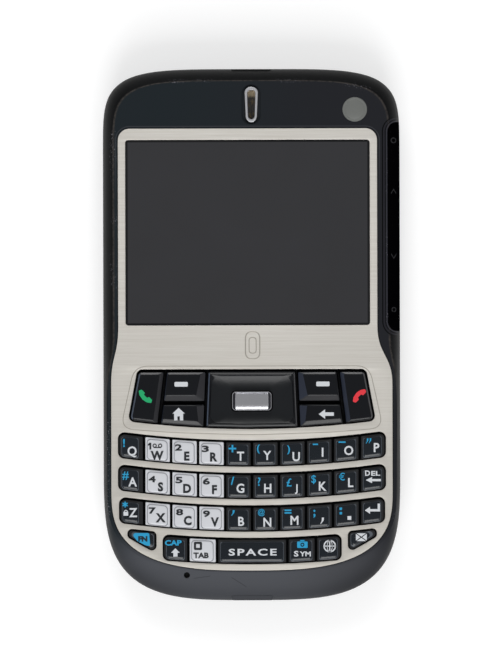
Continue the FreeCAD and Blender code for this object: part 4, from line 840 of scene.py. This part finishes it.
def lettering(finish, text, x, y, height, width=None, weight=0.0, top=print_top, spacing=1.0):
    """Printed text in a finish, sunk in the cap and centred in mm, its capitals one height."""
    curve = bpy.data.curves.new("lettering", "FONT")
    curve.body = text
    curve.offset = weight
    curve.extrude = print_half
    curve.resolution_u = 3
    curve.space_character = spacing
    holder = bpy.data.objects.new("lettering", curve)
    mesh = bpy.data.meshes.new_from_object(holder)
    bpy.data.objects.remove(holder)
    xs = [v.co.x for v in mesh.vertices]
    ys = [v.co.y for v in mesh.vertices]
    if text.isalnum() and text != "J":
        low, high = -weight, font_capital + weight
    else:
        low, high = min(ys), max(ys)
    rise = height / (high - low)
    stretch = width / (max(xs) - min(xs)) if width else rise * font_narrowing
    mesh.transform(Matrix.Translation((x * MM, y * MM, (top - print_half) * MM))
                   @ Matrix.Diagonal((stretch * MM, rise * MM, MM, 1))
                   @ Matrix.Translation((-(max(xs) + min(xs)) / 2, -(low + high) / 2, 0)))
    return mesh, finish


silver_keys = ("w", "e", "r", "s", "d", "f", "x", "c", "v", "zero_tab")
letter_size = 2.05
letter_places = {
    "q": (-25.2, -24.35), "w": (-19.95, -25.3), "e": (-13.7, -25.45), "r": (-8.05, -25.65),
    "t": (-2.4, -25.5), "y": (3.2, -25.35), "u": (9.3, -25.6), "i": (14.85, -24.7), "o": (20.35, -24.35),
    "p": (26.2, -23.75), "a": (-25.1, -30.85), "s": (-19.25, -31.9), "d": (-13.65, -32.25),
    "f": (-7.9, -32.5), "g": (-2.45, -32.25), "h": (3.3, -32.25), "j": (9.3, -32.5), "k": (14.85, -31.85),
    "l": (20.75, -31.1),
    "z": (-25.0, -37.3), "x": (-19.25, -38.4), "c": (-13.55, -39.0), "v": (-7.85, -39.3), "b": (-2.3, -39.2),
    "n": (3.2, -39.4), "m": (8.9, -39.0)}
# The small sign beside some letters: what it says, its place and its height.
second_signs = {
    "q": ("!", -26.9, -22.7, 1.75), "e": ("2", -15.45, -23.65, 1.4),
    "r": ("3", -9.8, -23.95, 1.4), "y": ("(", 1.35, -24.05, 1.9), "u": (")", 7.7, -24.25, 1.9),
    "a": ("#", -26.6, -29.6, 1.75), "s": ("4", -21.0, -30.3, 1.4), "d": ("5", -15.35, -30.5, 1.4),
    "f": ("6", -9.6, -30.8, 1.4), "g": ("/", -4.1, -30.7, 1.75), "h": ("?", 1.5, -30.9, 1.8),
    "j": ("£", 7.8, -31.1, 1.75), "k": ("$", 12.95, -30.5, 1.9), "l": ("€", 18.9, -29.9, 1.65),
    "x": ("7", -21.0, -36.9, 1.4), "c": ("8", -15.25, -37.25, 1.4), "v": ("9", -9.6, -37.6, 1.4),
    "n": ("@", 1.95, -37.4, 1.55), "comma": (";", 13.1, -37.7, 1.7)}


def glyph(finish, x, y, *loops):
    """A printed sign in a finish, from outlines in mm round a place."""
    outlines = [[(x + dx, y + dy) for dx, dy in loop] for loop in loops]
    return sheet_mesh(outlines, print_top - 0.015, print_top), finish


def stretched(outline, across, up):
    """An outline made wider and taller by two factors."""
    return [(x * across, y * up) for x, y in outline]


def block(half_width, half_height, corner=0.0):
    """A rectangle with rounded corners, as an outline in mm."""
    points = []
    for quarter, (sx, sy) in enumerate(((1, 1), (-1, 1), (-1, -1), (1, -1))):
        for step in range(5 if corner else 1):
            angle = math.pi / 2 * (quarter + step / 4)
            points.append((sx * (half_width - corner) + corner * math.cos(angle),
                           sy * (half_height - corner) + corner * math.sin(angle)))
    return points


def star(arms, reach, width):
    """A sign of bars that meet in its middle, as an outline in mm."""
    points = []
    for arm in range(arms):
        angle = math.pi / 2 + 2 * math.pi * arm / arms
        ux, uy = math.cos(angle), math.sin(angle)
        points += [(reach * ux + width / 2 * uy, reach * uy - width / 2 * ux),
                   (reach * ux - width / 2 * uy, reach * uy + width / 2 * ux)]
        notch = width / 2 / math.sin(math.pi / arms)
        points.append((notch * math.cos(angle + math.pi / arms), notch * math.sin(angle + math.pi / arms)))
    return points


def arc_band(radius, width, end=360, squash=1.0, steps=14):
    """A curved band from the right, round to an angle in degrees, as an outline in mm."""
    angles = [math.radians(end * i / steps) for i in range(steps + 1)]
    outer, inner = [[(reach * math.cos(a) * squash, reach * math.sin(a)) for a in angles]
                    for reach in (radius + width / 2, radius - width / 2)]
    return outer + inner[::-1]


left_arrow = [(-1.6, 0), (-0.25, 0.95), (-0.25, 0.35), (1.6, 0.35), (1.6, -0.35), (-0.25, -0.35),
              (-0.25, -0.95)]
up_arrow = [(0, 1.1), (1.15, -0.1), (0.55, -0.1), (0.55, -1.1), (-0.55, -1.1), (-0.55, -0.1), (-1.15, -0.1)]
bent_arrow = [(-1.6, -0.3), (-0.5, 0.45), (-0.5, -0.05), (1.1, -0.05), (1.1, 1.1), (1.6, 1.1), (1.6, -0.55),
              (-0.5, -0.55), (-0.5, -1.05)]
figure_one = [(-0.1, 0.7), (0.28, 0.7), (0.28, -0.7), (-0.1, -0.7), (-0.1, 0.25), (-0.4, 0.05), (-0.4, 0.4)]
tick = [(-0.08, 0.55), (0.28, 0.55), (0.2, 0.05), (-0.2, -0.5), (-0.32, -0.5), (-0.08, 0.0)]
leaf = smooth_outline([(-1.75, 1.3), (1.45, 1.3), (1.65, -1.4), (0.95, -1.4), (-1.0, -0.45),
                       (-1.95, 0.75)], 0.35, 5)
extra_signs = {
    "t": [glyph(blue_print, -4.1, -23.95, star(4, 0.8, 0.36))],
    "i": [glyph(blue_print, 13.35, -23.1, block(0.55, 0.15))],
    "o": [glyph(blue_print, 18.95, -22.65, block(0.75, 0.15))],
    "p": [glyph(blue_print, *place, tick) for place in ((24.25, -22.45), (24.85, -22.4))],
    "b": [glyph(blue_print, -4.0, -37.5, stretched(tick, 1.25, 1.1))],
    "m": [glyph(blue_print, 7.55, level, block(0.72, 0.16)) for level in (-36.95, -37.5)],
    "delete": [lettering(white_print, "D", 24.3, -29.15, 1.2, 1.05, 0.03),
               lettering(white_print, "EL", 26.0, -29.2, 1.05, 1.9, 0.03),
               glyph(white_print, 25.5, -30.65, stretched(left_arrow, 1.0, 0.68))],
    "enter": [glyph(white_print, 25.3, -36.7, bent_arrow)],
    "comma": [glyph(white_print, 14.75, -39.2, stretched(tick, 1.35, 1.25))],
    "full_stop": [glyph(white_print, 20.45, -38.6, block(0.4, 0.4, 0.06)),
                  *[glyph(blue_print, 18.65, level, block(0.26, 0.26, 0.05)) for level in (-36.65, -37.6)]],
    "shift": [lettering(blue_print, "CAP", -16.6, -43.7, 1.2, 3.5, 0.04),
              glyph(white_print, -16.15, -45.75, stretched(up_arrow, 0.8, 0.8))],
    "zero_tab": [glyph(dark_print, -11.4, -44.4, block(0.85, 0.86, 0.28), block(0.4, 0.42, 0.08)),
                 lettering(dark_print, "TAB", -10.75, -46.35, 1.25, 3.2, 0.04)],
    "space": [lettering(white_print, "SPACE", 0.1, -45.7, 1.5, 10.1, 0.025, print_top, 1.25)],
    "symbol": [glyph(blue_print, 10.55, -44.2, block(1.1, 0.68, 0.15), block(0.42, 0.42, 0.4)),
               glyph(blue_print, 10.55, -43.4, block(0.45, 0.2, 0.05)),
               glyph(blue_print, 10.55, -44.2, block(0.2, 0.2, 0.19)),
               lettering(white_print, "S", 9.25, -46.05, 1.25, 0.95, 0.03),
               lettering(white_print, "YM", 11.15, -46.1, 1.1, 2.35, 0.03)],
    "web": [glyph(white_print, 16.3, -44.5, arc_band(1.2, 0.28)),
            glyph(white_print, 16.3, -44.5, arc_band(1.2, 0.26, squash=0.45)),
            glyph(white_print, 16.3, -44.5, star(4, 1.15, 0.24))],
    "function": [glyph(blue_print, -23.1, -42.95, leaf),
                 lettering(dark_print, "FN", -23.0, -42.85, 1.25, 1.95, 0.07, print_top + 0.001)],
    "mail": [glyph(white_print, 22.95, -42.65, [(-1.0, 0.82), (1.0, 0.82), (0, 0.12)],
                    [(-1.0, -0.82), (0, -0.12), (1.0, -0.82)], [(-1.15, 0.72), (-0.18, 0), (-1.15, -0.72)],
                    [(1.15, 0.72), (1.15, -0.72), (0.18, 0)])],
    "w": [glyph(dark_print, -21.45, -23.4, figure_one),
          *[glyph(dark_print, place, -23.3, arc_band(0.34, 0.22)) for place in (-20.45, -19.3)],
          glyph(dark_print, -19.88, -23.68, block(0.75, 0.11))],
    "z": [glyph(blue_print, -26.7, -35.65, star(6, 0.62, 0.26)),
          glyph(white_print, -26.55, -37.6, block(0.5, 0.4, 0.05)),
          glyph(white_print, -26.55, -37.2, arc_band(0.32, 0.18, 180))],
}

other_keys = ["comma", "full_stop", "delete", "enter", "shift", "zero_tab", "space", "symbol", "web",
              "function", "mail"]
for key in [*"qwertyuiopasdfghjklzxcvbnm", *other_keys]:
    node = "key_" + key
    silver = key in silver_keys
    bent = key not in ("function", "mail")
    outline = cap_outline(node, bent=bent)
    if not bent:
        rings = key_rings(outline, even(0.34), (0.32, 0.32, 0.5, 0.22), 0.6, 0.2)
    elif silver:
        rings = key_rings(outline, (0.42, 0.55, 0.14, 0.62), (0.32, 0.32, 0.42, 0.2), 0.75, 0.32)
    else:
        groove = (0.5, 1.0 if key in "qaz" else 0.62, 0.16, 0.68)
        rings = key_rings(outline, groove, (0.3, 0.3, 0.6, 0.2), 0.45, 0.36)
    if silver:
        finishes = (silver_key, skirt_shade, silver_shade_line, silver_key)
    else:
        finishes = (dark_key, skirt_shade, dark_key_highlight_line, dark_ledge)
    # The skirt takes finish 1, painted shade, the ledge 3, the groove's two sides 2, painted shade on silver
    # keys and a painted highlight on dark ones, and the plateau 0.
    bands = {0: 1, 1: 1, 2: 1, 3: 1, 4: 3, 5: 3, 6: 2, 7: 2}
    parts = [(ring_mesh(rings, bend_radius=row_bend * bent, bands=bands), *finishes)]
    if key in letter_places:
        x, y = letter_places[key]
        parts.append(lettering(dark_print if silver else white_print, key.upper(), x, y, letter_size,
                               weight=0.045 if silver else 0.022))
    if key in second_signs:
        sign, x, y, size = second_signs[key]
        width = 1.5 if sign.isdigit() else None
        weight = 0.035 if sign.isdigit() else 0.012 if sign in "$@#€£?" else 0.03
        parts.append(lettering(dark_print if silver else blue_print, sign, x, y, size, width, weight))
    parts += extra_signs.get(key, [])
    piece = join_pieces("cap_" + key, parts + stems(node))
    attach(piece, node)
    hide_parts(node)


# Navigation keys
# Polished black acrylic caps with broad matt slopes towards the pad and signs printed on top.
# Call and end stand outside, the soft keys above home and back.

nav_gloss = moulded("acrylic_nav_black", "#0a0c10", "#0d0f14", 0.2, 0.5, 0.0004, 0.3)
slope_grey = moulded("key_slope_matt_grey", "#252528", "#323235", 0.5, 0.12, 0.006, 0.15)
# Painted light: a blue-tinted copy of the slope for slopes that face left, and painted highlights, bluish and
# grey, for edges.
slope_painted_blue_light = moulded("key_slope_painted_blue_light", "#1f2430", "#262c3a", 0.45, 0.2, 0.003, 0.3)
edge_highlight_blue = moulded("key_edge_painted_highlight_blue_grey", "#3a4250", "#454e5e", 0.3, 0.2, 0.001, 0.4)
edge_highlight_grey = moulded("key_edge_painted_highlight_grey", "#3e3e40", "#48484a", 0.3, 0.2, 0.001, 0.4)
green_print = moulded("key_print_green", "#139e62", "#18a86b", 0.4, 0.2, 0.0005)
red_print = moulded("key_print_red", "#d92f39", "#e03640", 0.4, 0.2, 0.0005)


def nav_rings(outline, slope, side, at_top, at_foot):
    """The rings of a navigation key: flange, side, arris, slope and polished face.

    The face's inner edge is curved: it lies further out by so much at its top and foot.
    """
    flange = (0, 0, -0.45, 0)
    arris = (0.2, 0.2, 0.08, 0.42)
    steps = [(flange, 0.1, flange_foot), (flange, 0.1, flange_top), (even(0.02), 0.2, flange_top),
             (arris, 0.25, 12.22), ([a + 0.05 for a in arris], 0.25, 12.3, 0.2), (slope, 0.3, 12.7),
             ([n + 0.12 for n in slope], 0.3, 12.75), ([n + 0.35 for n in slope], 0.3, key_top)]
    rings = [rounded_ring(outline, *step, count=48) for step in steps]
    xs, ys = [x for x, y, z in rings[5]], [y for x, y, z in rings[5]]
    for ring in rings[5:]:
        for i, (x, y, z) in enumerate(ring):
            inward = (x - min(xs)) / (max(xs) - min(xs))
            inward = inward if side > 0 else 1 - inward
            down = (max(ys) - y) / (max(ys) - min(ys))
            ring[i] = (x - side * inward ** 2 * (at_top * (1 - down) ** 1.5 + at_foot * down ** 1.5), y, z)
    return rings


handset = smooth_outline([(-1.85, -0.1), (-1.58, 0.5), (-0.6, 0.5), (-0.48, 0.06), (0.48, 0.06), (0.6, 0.5),
                          (1.58, 0.5), (1.85, -0.1), (1.1, -0.65), (0.0, -0.87), (-1.1, -0.65)], 0.16, 3)


def swung(outline, degrees):
    """An outline swung round its origin."""
    c, s = math.cos(math.radians(degrees)), math.sin(math.radians(degrees))
    return [(x * c - y * s, x * s + y * c) for x, y in outline]


house = [(0, 1.35), (1.3, 0.15), (0.95, 0.15), (0.95, -1.3), (0.25, -1.3), (0.25, -0.45), (-0.25, -0.45),
         (-0.25, -1.3), (-0.95, -1.3), (-0.95, 0.15), (-1.3, 0.15)]
nav_signs = {
    "call_key": glyph(green_print, -22.4, -12.95, swung(handset, -45)),
    "end_key": glyph(red_print, 22.6, -12.9, swung(handset, 225)),
    "left_soft_key": glyph(white_print, -14.85, -10.4, block(1.4, 0.5, 0.22)),
    "right_soft_key": glyph(white_print, 14.95, -10.4, block(1.4, 0.5, 0.22)),
    "home_key": glyph(white_print, -15.4, -16.7, house),
    "back_key": glyph(white_print, 15.65, -16.75, stretched(left_arrow, 1.0, 1.05)),
}
# Each left-hand key's slopes at its left, right, foot and top, and how far its face's inner edge
# moves out at the top and at the foot; its partner on the right mirrors it.
slopes = {"call_key": ((0.55, 1.0, 0.5, 0.8), (0.0, 0.25)),
          "left_soft_key": ((0.35, 1.25, 1.2, 0.8), (0.0, 0.8)),
          "home_key": ((0.35, 1.3, 0.95, 0.55), (0.55, 0.0))}
mirrored = {"end_key": "call_key", "right_soft_key": "left_soft_key", "back_key": "home_key"}
for node, sign in nav_signs.items():
    (left, right, foot, top), lean = slopes[mirrored.get(node, node)]
    side = 1
    if node in mirrored:
        left, right, side = right, left, -1
    rings = nav_rings(cap_outline(node, bent=False), (left, right, foot, top), side, *lean)
    skin = ring_mesh(rings, bands={0: 3, 1: 3, 2: 3, 4: 1})
    # Each slope face takes a finish by the way it faces: painted highlights on the tops and on call and end's
    # outer sides, a bluish painted light on other left-facing slopes, polished black on the feet of all but
    # the soft keys.
    for face in skin.polygons:
        x, y, z = face.normal
        if face.material_index == 1 and abs(y) < abs(x):
            narrow = node == ("call_key" if x < 0 else "end_key")
            face.material_index = (4 if x < 0 else 5) if narrow else (2 if x < 0 else 1)
        elif face.material_index == 1 and y > 0:
            face.material_index = 5
        elif face.material_index == 1 and "soft" not in node:
            face.material_index = 0
    parts = [(skin, nav_gloss, slope_grey, slope_painted_blue_light, skirt_shade, edge_highlight_blue, edge_highlight_grey), sign]
    piece = join_pieces("cap_" + node, parts + stems(node))
    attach(piece, node)
    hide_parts(node)


# Navigation pad and select key
# A dished, polished pad with a raised rim that rocks four ways round a chromed select key whose
# sloping ends are painted dark, a painted reflection.

pad_outline = cap_outline("nav_pad", bent=False)
select_outline = cap_outline("select_key", bent=False)
pad_steps = [(even(0.05), 0.2, flange_foot), (even(0.02), 0.3, flange_top),
             ((0.1, 0.1, 0.06, 0.36), 0.3, 12.36), ((0.16, 0.16, 0.12, 0.42), 0.35, 12.48),
             ((0.42, 0.42, 0.5, 0.8), 0.4, 12.71), ((0.5, 0.5, 0.58, 0.88), 0.45, 12.73),
             ((0.58, 0.58, 0.66, 0.96), 0.6, 12.7), ((0.62, 0.62, 0.72, 1.0), 0.7, 12.66)]
rings = [rounded_ring(pad_outline, *step, count=96) for step in pad_steps]
# The rim drops steeply to the dish, which starts lower along its sides and foot than its top.
rim_ring = rounded_ring(pad_outline, (0.85, 0.85, 0.9, 1.17), 1.9, 12.02, 0.26, 96)
rings.append(rim_ring)
hole_level, dish_steps = 11.55, 13
hole_ring = rounded_ring(select_outline, even(-0.22), 0.95, hole_level, count=96)
for step in range(1, dish_steps):
    share = step / dish_steps
    fall = (1 - share) ** 2.1
    rings.append([(a + (c - a) * share, b + (d - b) * share, hole_level + (level - hole_level) * fall)
                  for (a, b, level), (c, d, _) in zip(rim_ring, hole_ring)])
rings += [hole_ring] + [[(x, y, level) for x, y, _ in hole_ring] for level in (11.45, 10.95)]
# A shallow pocket in the pad's underside takes the wings that hold the select key down.
wing_start, wing_end, wing_half, wing_room = 2.8, 4.8, 2.4, 0.3
select_y = (min(y for _, y in select_outline) + max(y for _, y in select_outline)) / 2
wing_foot, wing_top = select_y - wing_half, select_y + wing_half
pocket = oblong(-wing_end, wing_end, wing_foot, wing_top, wing_room)
rings += [rounded_ring(pocket, even(0), 0.3, level, count=96) for level in (10.95, flange_foot)]
dish_bands = {number: 3 for number in range(len(pad_steps), len(pad_steps) + dish_steps)}
skin = ring_mesh(rings, closed_top=False, bands={3: 1, **dish_bands})
nav_dish = moulded("acrylic_nav_dish", "#0c0f13", "#0f1216", 0.34, 0.5, 0.0004, 0.36)
# The rim's sides take painted highlights, bluish on the left and grey on the right; its top and foot stay
# polished black.
for face in skin.polygons:
    if face.material_index == 1 and abs(face.normal.y) > abs(face.normal.x):
        face.material_index = 0
    elif face.material_index == 1 and face.normal.x > 0:
        face.material_index = 2
pad = join_pieces("nav_pad_cap", [(skin, nav_gloss, edge_highlight_blue, edge_highlight_grey, nav_dish)] + stems("nav_pad"), 50)
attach(pad, "nav_pad")
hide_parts("nav_pad")

select_steps = [(even(0), 0.3, 10.7), (even(0), 0.7, 12.4), (even(0.03), 0.7, 12.58),
                (even(0.08), 0.7, 12.63), (even(0.2), 0.65, 12.635), (even(0.27), 0.6, 12.5),
                ((0.68, 0.68, 0.4, 0.38), 0.2, 12.62),
                ((0.74, 0.74, 0.75, 0.42), 0.2, 12.73), ((0.8, 0.8, 1.15, 0.46), 0.2, 12.785),
                ((0.86, 0.86, 1.5, 1.0), 0.2, 12.8)]
select = ring_mesh([rounded_ring(select_outline, *step, count=48) for step in select_steps])
# The chrome's sloping ends are painted dark, a painted reflection.
end_facet_painted_reflection = moulded("chromed_end_facets_painted_dark_reflection", "#17171b", "#2a2a31", 0.2, 0.4, 0.0004)
for face in select.polygons:
    x, z = abs(face.center.x) / MM, face.center.z / MM
    if 3.3 < x < 4.5 and 12.52 < z < 12.65 and abs(face.normal.x) > 0.15:
        face.material_index = 1
wings = [(sheet_mesh([oblong(left, right, wing_foot, wing_top)], flange_foot, 10.72), skirt_shade)
         for left, right in ((-wing_end, -wing_start), (wing_start, wing_end))]
select_key = join_pieces("select_cap", [(select, chrome, end_facet_painted_reflection), *wings,
                                        *stems("select_key", 10.75)], 28)
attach(select_key, "select_key")
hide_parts("select_key")


# Phone camera
# A turned gunmetal ring pressed into the back, a black printed mask round a clear pane, a
# stepped lens barrel and the sensor block behind it.

camera_x, camera_y = 0.0, 42.977
turned_ring = moulded("turned_ring_gunmetal", "#5f6165", "#54565a", 0.28, 0.3, 0.001, metallic=1.0)
mask_black = moulded("window_mask_printed_black", "#08090b", "#0c0d0f", 0.08, 0.5, 0.0003)
barrel_black = moulded("lens_barrel_matt_black", "#101113", "#17181b", 0.5, 0.3, 0.002)
lens_coat = moulded("lens_coated_violet", "#1d1440", "#0e2c4c", 0.06, 0.5, 0.0002, 0.8, 1.1)
sensor_case = moulded("sensor_case_black", "#1a1b1e", "#222326", 0.5, 0.3, 0.003)
clear_pane = moulded("camera_pane_clear", "#f4f6f8", "#eceff2", 0.03, 0.5, 0.0002)
clear_pane.node_tree.nodes["Principled BSDF"].inputs["Transmission Weight"].default_value = 1.0


def turned(profile, closed_top=True, bands=None):
    """A piece turned about the camera's axis from radii and heights in mm."""
    return ring_mesh([stadium(r, r, camera_x, camera_y, z, 64) for r, z in profile], closed_top, bands)


trim = turned([(5.5, 2.15), (5.5, 0.3), (5.38, 0.09), (5.15, 0.0), (4.35, 0.0), (4.12, 0.1), (3.97, 0.42),
               (3.97, 2.15)], False)
mask = turned([(3.9, 1.0), (3.9, 0.45), (3.85, 0.4), (1.75, 0.4), (1.7, 0.45), (1.7, 1.0)], False)
pane = turned([(1.69, 0.85), (1.69, 0.5)])
barrel = turned([(3.2, 5.7), (3.2, 1.02), (1.7, 1.02), (1.6, 1.25), (1.3, 1.3), (1.25, 1.55), (1.0, 1.6),
                 (0.97, 1.46), (0.8, 1.3), (0.5, 1.2), (0.2, 1.16), (0.05, 1.15)],
                bands={7: 1, 8: 1, 9: 1, 10: 1})
sensor_outline = oblong(camera_x, camera_x, camera_y, camera_y, 4.25)
sensor = sheet_mesh([smooth_outline(sensor_outline, 0.6, 4)], 5.72, 8.28, 0.15, 0.0)
camera_set = join_pieces("camera_assembly", [(trim, turned_ring), (mask, mask_black), (pane, clear_pane),
                                             (barrel, barrel_black, lens_coat), (sensor, sensor_case)])
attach(camera_set, "phone")
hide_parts("camera")


# Screws
# Four pan-head steel screws, zinc plated, with six-lobed recesses and rolled threads, driven from
# the back into the bezel's posts.

zinc = moulded("screw_zinc_plated", "#86888c", "#9a9ca0", 0.32, 0.15, 0.002, metallic=1.0)
head_radius, crest, root, thread_pitch = 1.33, 0.69, 0.55, 0.4


def lobed(radius, level, lobe=0.0):
    """A ring of 48 points round a screw's axis, with six lobes of that height, in mm."""
    ring = []
    for step in range(48):
        angle = 2 * math.pi * step / 48
        reach = radius + lobe * math.cos(6 * angle)
        ring.append((reach * math.cos(angle), reach * math.sin(angle), level))
    return ring


screw_rings = [lobed(0.3, 7.38), lobed(root, 7.2)]
for turn in range(11):
    screw_rings += [lobed(crest, 7.0 - turn * thread_pitch), lobed(root, 6.8 - turn * thread_pitch)]
screw_rings += [lobed(*ring) for ring in (
    (0.62, 2.1), (head_radius, 2.05), (head_radius, 1.5), (1.26, 1.27), (1.06, 1.16), (0.72, 1.16, 0.13),
    (0.68, 1.22, 0.12), (0.66, 1.8, 0.12), (0.1, 1.86))]
one_screw = join_pieces("screw", [(ring_mesh(screw_rings), zinc)])

screw_tree, drive, given = geometry_tree("screw_in_each_post", ("Geometry", "Geometry"),
                                         ("Screw", "Object"), ("Finish", "Material"))
pattern = drive("GeometryNodeObjectInfo", {"Object": given["Screw"]}).outputs["Geometry"]
driven = drive("GeometryNodeInstanceOnPoints", {"Points": given["Geometry"], "Instance": pattern})
whole_set = drive("GeometryNodeRealizeInstances", (driven,))
plated = drive("GeometryNodeSetMaterial", {"Geometry": whole_set, "Material": given["Finish"]})
drive("NodeGroupOutput", (plated,))

posts = bpy.data.meshes.new("post_places")
post_places = [(side * x, y) for x, y in ((23.0, 48.375), (24.2, -2.61)) for side in (-1, 1)]
posts.from_pydata([(x * MM, y * MM, 0) for x, y in post_places], [], [])
screw_set = join_pieces("screw_set", [(grown(screw_tree, posts, Screw=one_screw, Finish=zinc), zinc)])
bpy.data.objects.remove(one_screw)
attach(screw_set, "phone")
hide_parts("screws")


# Loudspeaker gauze
# Fine black wire gauze that keeps dust out of the four sound slots of the back.

gauze_black = moulded("wire_gauze_black", "#1c1d20", "#2a2b2f", 0.45, 0.3, 0.002, 0.4, 1.5)
speaker_x, speaker_y, gauze_level, slot_pitch = -17.0, 34.977, 0.7, 1.9
gauze = []
for slot_number in range(4):
    patch = grown(wire_tree, Width=0.86 * MM, Length=5.96 * MM, Finish=gauze_black)
    slot_x = speaker_x + slot_pitch * (slot_number - 1.5)
    patch.transform(Matrix.Translation((slot_x * MM, speaker_y * MM, gauze_level * MM)))
    gauze.append((patch, gauze_black))
speaker_gauze = join_pieces("speaker_gauze", gauze)
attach(speaker_gauze, "phone")


# Battery cover
# The sliding panel of the back: ABS with a soft-touch coat, a shade darker and more matt than the
# housing, and a thumb grip of shallow grooves moulded into its head.

cover_coat, put = new_material("soft_touch_coat_black")
in_mm = place_in_mm(put)
handled = put("TexNoise", {"Vector": in_mm, "Scale": 0.11, "Detail": 3.0})
pits = put("TexNoise", {"Vector": in_mm, "Scale": 5.5, "Detail": 2.0})
surface(put, {"Base Color": painted(put, "#0f1012", (handled, "#151619")),
              "Roughness": fade(put, (pits, 0.0, 1.0, 0.56, 0.68)), "Specular IOR Level": 0.25}, pits, 0.006)

# Five grooves with round ends and round beds: how far up the cover each lies, and its half-length.
groove_half = 0.42
groove_bed = ((groove_half, -0.1), (0.36, 0.0), (0.28, 0.14), (0.16, 0.25))
grooves = []
for groove_y, half_length in ((14.0, 6.2), (15.15, 7.8), (16.3, 8.4), (17.45, 7.8), (18.6, 6.2)):
    rings = [stadium(half_width, half_length - groove_half + half_width, 0, 0, level, 24)
             for half_width, level in groove_bed]
    laid = [[(up, groove_y - across, level) for across, up, level in ring] for ring in rings]
    grooves.append((ring_mesh(laid), cover_coat))
cutter = join_pieces("groove_cutter", grooves)
panel_mesh = bmesh.new()
panel_mesh.from_mesh(nodes["battery_cover"].data)
bmesh.ops.remove_doubles(panel_mesh, verts=panel_mesh.verts, dist=1e-6)
uncut = bpy.data.meshes.new("uncut_panel")
panel_mesh.to_mesh(uncut)
panel_mesh.free()
uncut.materials.clear()
uncut_panel = bpy.data.objects.new("uncut_panel", uncut)
scene.collection.objects.link(uncut_panel)
carving = uncut_panel.modifiers.new("grooves", "BOOLEAN")
carving.operation = "DIFFERENCE"
carving.solver = "EXACT"
carving.object = cutter
carved = bpy.data.meshes.new_from_object(uncut_panel.evaluated_get(bpy.context.evaluated_depsgraph_get()))
bpy.data.objects.remove(uncut_panel)
bpy.data.objects.remove(cutter)
cover_panel = join_pieces("battery_cover_panel", [(carved, cover_coat)], 30)
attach(cover_panel, "battery_cover")
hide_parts("battery_cover")


# Power button
# A rounded bar of the bezel's plastic in the top end, held by a flange behind the shell's wall.

# How far each ring lies outside the bar's outline, and how far up the phone it is.
button_bar = (-4.0, 4.0, 7.3, 9.1)
button_steps = [(0.6, 53.31), (0.6, 53.9), (0.0, 53.92), (0.0, 55.4), (-0.05, 55.56), (-0.16, 55.69),
                (-0.32, 55.78), (-0.52, 55.83)]
button_rings = [[(x, up, z) for x, z in smooth_outline(oblong(*button_bar, spread), 0.35, 5)]
                for spread, up in button_steps]
power_button = join_pieces("power_button_bar", [(ring_mesh(button_rings), bezel_black)])
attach(power_button, "power_button")
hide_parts("power_button")
